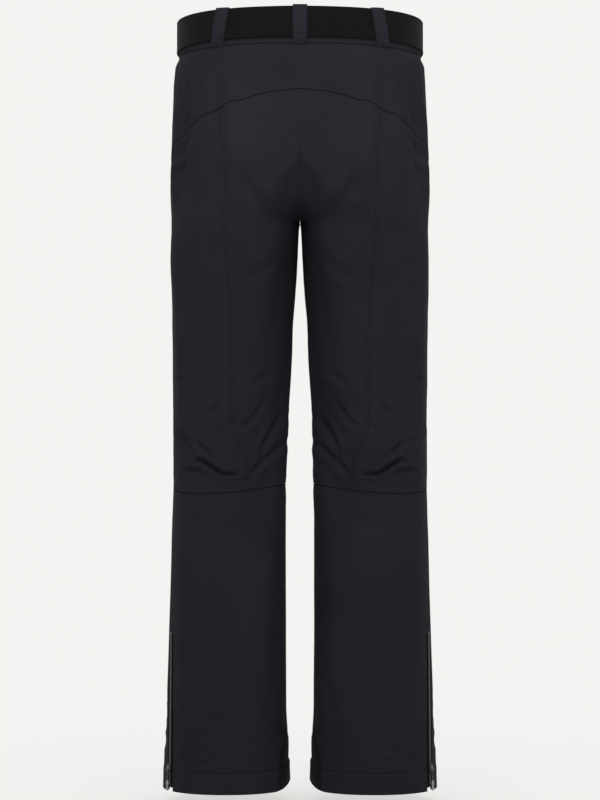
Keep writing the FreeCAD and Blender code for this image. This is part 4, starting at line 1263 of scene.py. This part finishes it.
FRONT_Z = -21.0
keeper = wall_place(wall_t(56.0), FRONT_Z)
Shape(keeper).slab(rounded(22.9, 3.475, 1.6, middle=(0.1, 3.725)), -4.5, 4.5, axis=1, bevel=0.35,
                   hole=rounded(21.55, 2.825, 1.0, middle=(0.35, 3.575))).build(
    "belt_keeper_metal", BUCKLE, "belt_keeper", ("belt_keeper",))

buckle = wall_place(1.0, FRONT_Z)
PIN = float(np.dot(np.array(JOINTS["buckle_lever_swing"]["pos_m"]) / MM - buckle.o, buckle.w))
PIN_N, BUCKLE_HALF_W, BUCKLE_HALF_H = 7.6, 21.5, 24.0
frame_shape = Shape(buckle).slab(rounded(BUCKLE_HALF_H, BUCKLE_HALF_W, 5.0, 7), 2.4, 5.6, bevel=0.7,
                                 hole=rounded(19.5, 14.0, 3.0, 7))
for low, high in ((-BUCKLE_HALF_H, -20.2), (20.2, BUCKLE_HALF_H)):
    ear = [(PIN + 3.4 * math.cos(a), PIN_N - 0.4 + 3.2 * math.sin(a)) for a in np.linspace(0, math.pi, 12)]
    frame_shape.slab(ear + [(PIN - 3.4, 4.6), (PIN + 3.4, 4.6)], low, high, axis=0, bevel=0.4)
frame_shape.build("buckle_frame_metal", BUCKLE, replaces=("buckle_frame",))
Shape(buckle).tube([(u, PIN, PIN_N) for u in (-23.6, -23.2, 0, 23.2, 23.6)], [0.8, 1.2, 1.2, 1.2, 0.8],
                   20).build("buckle_pin_metal", BUCKLE, replaces=("buckle_pin",))
reach = -math.copysign(1.0, PIN)
wing = [(18.8, PIN), (18.8, PIN + reach * 26.0), (15.5, PIN + reach * 30.0), (-15.5, PIN + reach * 30.0),
        (-18.8, PIN + reach * 26.0), (-18.8, PIN)]
lever_shape = Shape(buckle).slab(wing, PIN_N - 1.0, PIN_N + 1.1, bevel=0.6)
lever_shape.tube([(u, PIN, PIN_N) for u in (-19.1, -18.7, 0, 18.7, 19.1)], [2.1, 2.5, 2.5, 2.5, 2.1], 24)
lever_shape.slab(rounded(13.0, 9.0, 2.0, middle=(0, PIN + reach * 16.5)), PIN_N + 0.9, PIN_N + 1.45,
                 bevel=0.25)
lever_shape.build("buckle_lever_metal", BUCKLE, "buckle_lever", ("buckle_lever",))

snap = wall_place(1.0, -WAISTBAND_H / 2)
Shape(snap).lathe([(0.4, 0.2), (7.4, 0.2), (7.5, 0.7), (7.1, 1.3), (5.5, 1.6), (5.0, 1.35), (2.0, 1.5),
                   (0.4, 1.6)]).build("snap_cap_metal", BUCKLE, replaces=("snap_cap",))
Shape(snap).lathe([(0.4, -2.3), (6.0, -2.3), (6.0, -2.9), (4.4, -3.2), (4.0, -3.6), (2.0, -3.6), (1.7, -3.0),
                   (0.4, -3.0)]).build("snap_socket_metal", BUCKLE, replaces=("snap_socket",))


# ---------------------------------------------------------------- zips
TOOTH_PITCH = 2.0


def teeth(place, start, end):
    """Two rows of metal teeth that mesh along the middle."""
    shape = Shape(place)
    half = [(-0.62, -3.0), (0.62, -3.0), (0.62, -0.8), (0.45, -0.5), (-0.45, -0.5), (-0.62, -0.8)]
    for row, s in ((0, 1), (1, -1)):
        for u in np.arange(start + row * TOOTH_PITCH / 2, end, TOOTH_PITCH):
            verts = [(u + a, w, n) for w in (s * 3.0, -s * 0.9) for a, n in half]
            for k, (_, _, n) in enumerate(verts[6:]):
                verts[6 + k] = (u + (verts[6 + k][0] - u) * 0.75, verts[6 + k][1], n * 0.97)
            faces = [(0, 1, 2, 3, 4, 5), (11, 10, 9, 8, 7, 6)] + [(k, (k + 1) % 6, (k + 1) % 6 + 6, k + 6)
                                                                   for k in range(6)]
            shape.solid(verts, faces)
    return shape


def zip_tapes(place, start, end, wide=9.0):
    """A woven tape each side, with the corded bead that carries the teeth."""
    shape = Shape(place)
    count = int((end - start) / 3)
    for s in (-1, 1):
        path = [(u, s * (3.2 + wide) / 2 + 0.05 * math.sin(u), -3.9) for u in
                np.linspace(start, end, count)]
        shape.strap(path, (wide - 3.2) / 2, 0.55)
        shape.tube([(u, s * 3.5, -2.6) for u in np.linspace(start, end, count)], 0.6, 8)
    return shape


def slider(place, down):
    """Cast slider: two rounded shells, side flanges and an arched bail."""
    half_w, half = 5.2, 6.0
    outline = smooth([(-down * half, -0.45 * half_w), (-down * half, 0.45 * half_w),
                      (-down * 2.4, 0.86 * half_w), (down * 1.5, half_w), (down * half, 0.93 * half_w),
                      (down * half, -0.93 * half_w), (down * 1.5, -half_w), (-down * 2.4, -0.86 * half_w),
                      (-down * half, -0.45 * half_w)], 3)[:-1]
    shape = Shape(place).slab(outline.tolist(), 0.1, 1.5, bevel=0.4)
    shape.slab(outline.tolist(), -4.6, -3.8, bevel=0.3)
    for s in (-1, 1):
        shape.slab(rounded(3.0, 0.75, 0.5, middle=(0, s * 4.4)), -2.1, 0.4, bevel=0.2)
    arch = smooth([(-4.1, 0, 1.0), (-4.0, 0, 3.0), (-2.8, 0, 4.2), (0, 0, 4.35), (2.8, 0, 4.2), (4.0, 0, 3.0),
                   (4.1, 0, 1.0)], 5)
    shape.strap(arch, 0.95, 0.85, across=7)
    return shape


def pull(place, down, length):
    """Ringed pull: a cross bar under the bail, a slim stem and two cast rings."""
    def at(along, w=0.0):
        return down * (PIVOT_U + along), w, PIVOT_N

    shape = Shape(place)
    shape.tube([at(0, -3.4), at(0, -3.2), at(0, 3.2), at(0, 3.4)], [0.5, 0.7, 0.7, 0.5], 10)
    for s in (-1, 1):
        arm = smooth([at(-0.1, s * 2.8), at(3.5, s * 2.9), at(6.4, s * 2.5), at(8.2, s * 1.2)], 5)
        shape.tube(arm, 0.7, 10)
    stem = smooth([at(7.6), at(10), at(length - 14.0)], 6)
    shape.strap(stem, np.linspace(1.7, 1.5, len(stem)), 1.35, across=9)
    collar = smooth([at(length - 14.6), at(length - 14.0), at(length - 13.2)], 3)
    rings = Shape(place).ring(at(length - 10.5), 3.0, 1.1).ring(at(length - 3.8), 2.75, 1.05)
    return shape.tube(collar, 1.25, 12), rings


def zip_set(place, name, nodes, start, end, pull_length, down, tape_wide):
    """Teeth, tapes, slider and pull of one zip, for four nodes. The last two are also bodies."""
    chain, tape, slider_body, pull_body = nodes
    stem, rings = pull(place, down, pull_length)
    for shape, piece, material, body, node in (
            (teeth(place, start, end), "teeth", TEETH, "pants", chain),
            (zip_tapes(place, start, end + 4, tape_wide), "tapes", TAPE, "pants", tape),
            (slider(place, down), "slider_cast", CAST, slider_body, slider_body),
            (stem, "pull_cast", CAST, pull_body, pull_body),
            # rings in a lighter metal than the stem of the same pull: painted highlight
            (rings, "pull_rings", PULL_RING_HIGHLIGHT_METAL, pull_body, pull_body)):
        shape.build(f"{name}_{piece}", material, body, (node,))
    stop = Shape(place).slab(rounded(1.3, 3.1, 0.6, middle=(end + 1.6, 0)), -3.0, -0.2, bevel=0.3)
    stop.build(f"{name}_end_stop", TEETH)


for name, side in SIDES:
    for kind, place, chain, tape, start, end, length, down, wide in (
            ("ankle", ANKLE, f"ankle_zip_chain_{name}", f"ankle_zip_tape_{name}", -22, ANKLE_LENGTH - 1,
             28.0, -1, 13.5),
            ("pocket", POCKET, "pocket_zip_chains", "pocket_zip_tapes", -8, POCKET_LENGTH, 26.0, 1, 8.2)):
        own = place if side == 1 else mirrored_place(place)
        nodes = (chain, tape, f"{kind}_slider_{name}", f"{kind}_pull_{name}")
        zip_set(own, f"{kind}_zip_{name}", nodes, start, end, length, down, wide)
zip_set(FLY, "fly_zip", ("fly_zip_chain", "fly_zip_tape", "fly_slider", "fly_pull"), -3, FLY_LENGTH, 24.0, 1,
        9.0)


def welts(place, start, end):
    """Folded edges along both sides of the pocket's opening, closed at its ends."""
    def over(uwn, height):
        p, n = on_cloth(*place.points(uwn).T)
        return place.local(p + n * height)

    shape = Shape(place)
    for w in (-6.6, 6.6):
        shape.strap(over([(u, w, 0) for u in np.linspace(start, end, 40)], 0.35), 2.1, 1.3)
    for u in (start + 0.5, end - 0.5):
        shape.strap(over([(u, w, 0) for w in np.linspace(-7.5, 7.5, 12)], 0.5), 2.0, 1.3, side=(1, 0, 0))
    return shape


for name, side in SIDES:
    shape = welts(POCKET, -10.0, POCKET_LENGTH + 3.0)
    if side == -1:
        shape.place = mirrored_place(POCKET)
        shape.verts = [v * (1, -1, 1) for v in shape.verts]
    shape.build(f"pocket_welts_{name}", SHELL)

# The fly's curved stitching, two rows on the wearer's left.
for offset in (0.0, 5.0):
    z = np.concatenate((np.linspace(-54, -160, 40), -160 - 30 * np.sin(np.linspace(0, math.pi / 2, 30)[1:])))
    x = np.concatenate((np.full(40, 34.0), 34 - 32 * (1 - np.cos(np.linspace(0, math.pi / 2, 30)[1:]))))
    p, n = on_cloth(x - offset * (z > -175), np.full_like(z, -90), z + offset * (x < 30))
    threads.append((p, n))


# ---------------------------------------------------------------- layers inside
INNER_SPREAD = 6.0         # how much wider a crease is on the layers inside


def lining_front(z):
    return angle_at(straight([(0, 0.925), (-205, 0.925), (-250, 1.0), (HEM_Z, 1.0)], z), z)


def leg_tube(name, top, bottom, height, thick, material, node, step=7.0, share=0.7, taper=None):
    """A closed tube inside each leg."""
    wall = Patch(0.0, 1.0, top, bottom, rows=PLAIN, cols_first=[0], cols_last=[0], step=step)
    rise = height + (taper(wall.z) if taper else 0.0)
    return both(wall, f"{name}_SIDE", node, material, rise, thick, share, INNER_SPREAD, wrap=True)


def inner(patch, name, node, material, depth, thick):
    """A layer inside each leg that isn't a closed tube."""
    both(patch, name, node, material, -depth, thick, 0.7, INNER_SPREAD)


lining = Patch(0.0, lining_front, -54.0, -876.0, (True, True), step=7.0, rows=PLAIN)
panel(lining, "lining", -9.2 + 0.4 * noise(lining.base, 40, 9), LINING, thick=0.6, share=0.8,
      spread=INNER_SPREAD)
for piece in leg_tube("leg_insulation_wadding", -300.0, ZIP_TOP_Z + 12, -3.1, 3.6, WADDING, "leg_insulation",
                      share=1.0):
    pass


def cuff_taper(z):
    """The gaiter narrows toward its elastic, which gathers it."""
    return -9.0 * np.clip((-884.0 - z) / 150.0, 0, 1) - 0.5 * np.sin(z / 5.0) * np.clip((-990 - z) / 20, 0, 1)


leg_tube("gaiter_cloth", -882.0, -1034.0, -7.0, 0.8, LINING, "gaiter_SIDE", 5.0, taper=cuff_taper)
leg_tube("gaiter_elastic_band", -1012.0, -1034.0, -8.3, 1.5, ELASTIC, "gaiter_elastics", 4.0,
         taper=cuff_taper)
inner(Patch(zip_side(1), across_front(zip_side(-1)), lambda t: hem(t) + 28.0, lambda t: hem(t) + 0.8,
            rows=PLAIN, step=5), "hem_facing_cloth_SIDE", "hem_facings", FACING, 2.6, 0.8)
inner(Patch(lambda z: angle_at(straight(SIDE_T, z) - 0.034, z),
            lambda z: angle_at(straight(SIDE_T, z) + 0.034, z), ZIP_TOP_Z + 6, HEM_Z + 3, rows=PLAIN, step=4),
      "ankle_gusset_cloth_SIDE", "ankle_gussets", FACING, 5.9, 0.6)
bag = Patch(0.59, 0.76, -66.0, -262.0, rows=PLAIN, step=5)
for layer, depth in (("outer", 7.6), ("inner", 8.3)):
    inner(bag, f"pocket_bag_{layer}_SIDE", "pocket_bags", LINING, depth, 0.4)

stitches("top_stitching", threads, THREAD)


# ---------------------------------------------------------------- floor, light and camera
PAPER = (0.905, 0.896, 0.880)      # the pale studio's own tone
SHADE = 0.3                        # how much of it the floor takes from the light round it


def plain(name):
    """Matt floor paper with the studio's tone, and only a faint shade under the object."""
    s = Shader(name, (SHADE,) * 3, 1.0, Specular_IOR_Level=0.0)
    s.main.inputs["Emission Color"].default_value = (*[c * (1 - SHADE) for c in PAPER], 1)
    s.main.inputs["Emission Strength"].default_value = 1.0
    return s.tint(s.noise(3, 2.0), 0.998, 1.002).mat


FLOOR_HALF, FLOOR_Z = 30000.0, HEM_Z - 20.0
corners = [(x * FLOOR_HALF, y * FLOOR_HALF, FLOOR_Z) for x, y in ((-1, -1), (1, -1), (1, 1), (-1, 1))]
floor = add_object("floor", mesh_from("floor", corners, [(0, 1, 2, 3)]))
floor.data.materials.append(plain("pale_floor"))
floor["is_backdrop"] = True

world = bpy.data.worlds.new("studio")
bpy.context.scene.world = world
world.use_nodes = True
backdrop = world.node_tree.nodes["Background"]
backdrop.inputs["Color"].default_value = (*PAPER, 1)
backdrop.inputs["Strength"].default_value = 1.0

lit = bpy.data.collections.new("lit_by_lamps")
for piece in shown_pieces():
    lit.objects.link(piece)


def lamp(name, y):
    """Soft lamp for the object alone, so that the floor and the background keep one tone."""
    data = bpy.data.lights.new(name, "AREA")
    data.shape, data.size, data.energy, data.spread = "DISK", 0.9, 12.5, math.pi
    obj = add_object(name, data)
    place = Vector((0, y, 0.55))
    obj.location = place
    obj.rotation_euler = (Vector((0, 0, -0.15)) - place).to_track_quat("-Z", "Y").to_euler()
    obj.light_linking.receiver_collection = lit
    obj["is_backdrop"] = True


lamp("key", 0.98)
lamp("front", -0.98)

CAMERA_Z, DISTANCE, LENS = -0.5249, 3.6, 117.95        # metres, metres, millimetres
camera = add_object("camera", bpy.data.cameras.new("camera"))
camera.location = (0, DISTANCE, CAMERA_Z)
camera.rotation_euler = (math.pi / 2, 0, math.pi)
camera.data.lens = LENS
bpy.context.scene.camera = camera
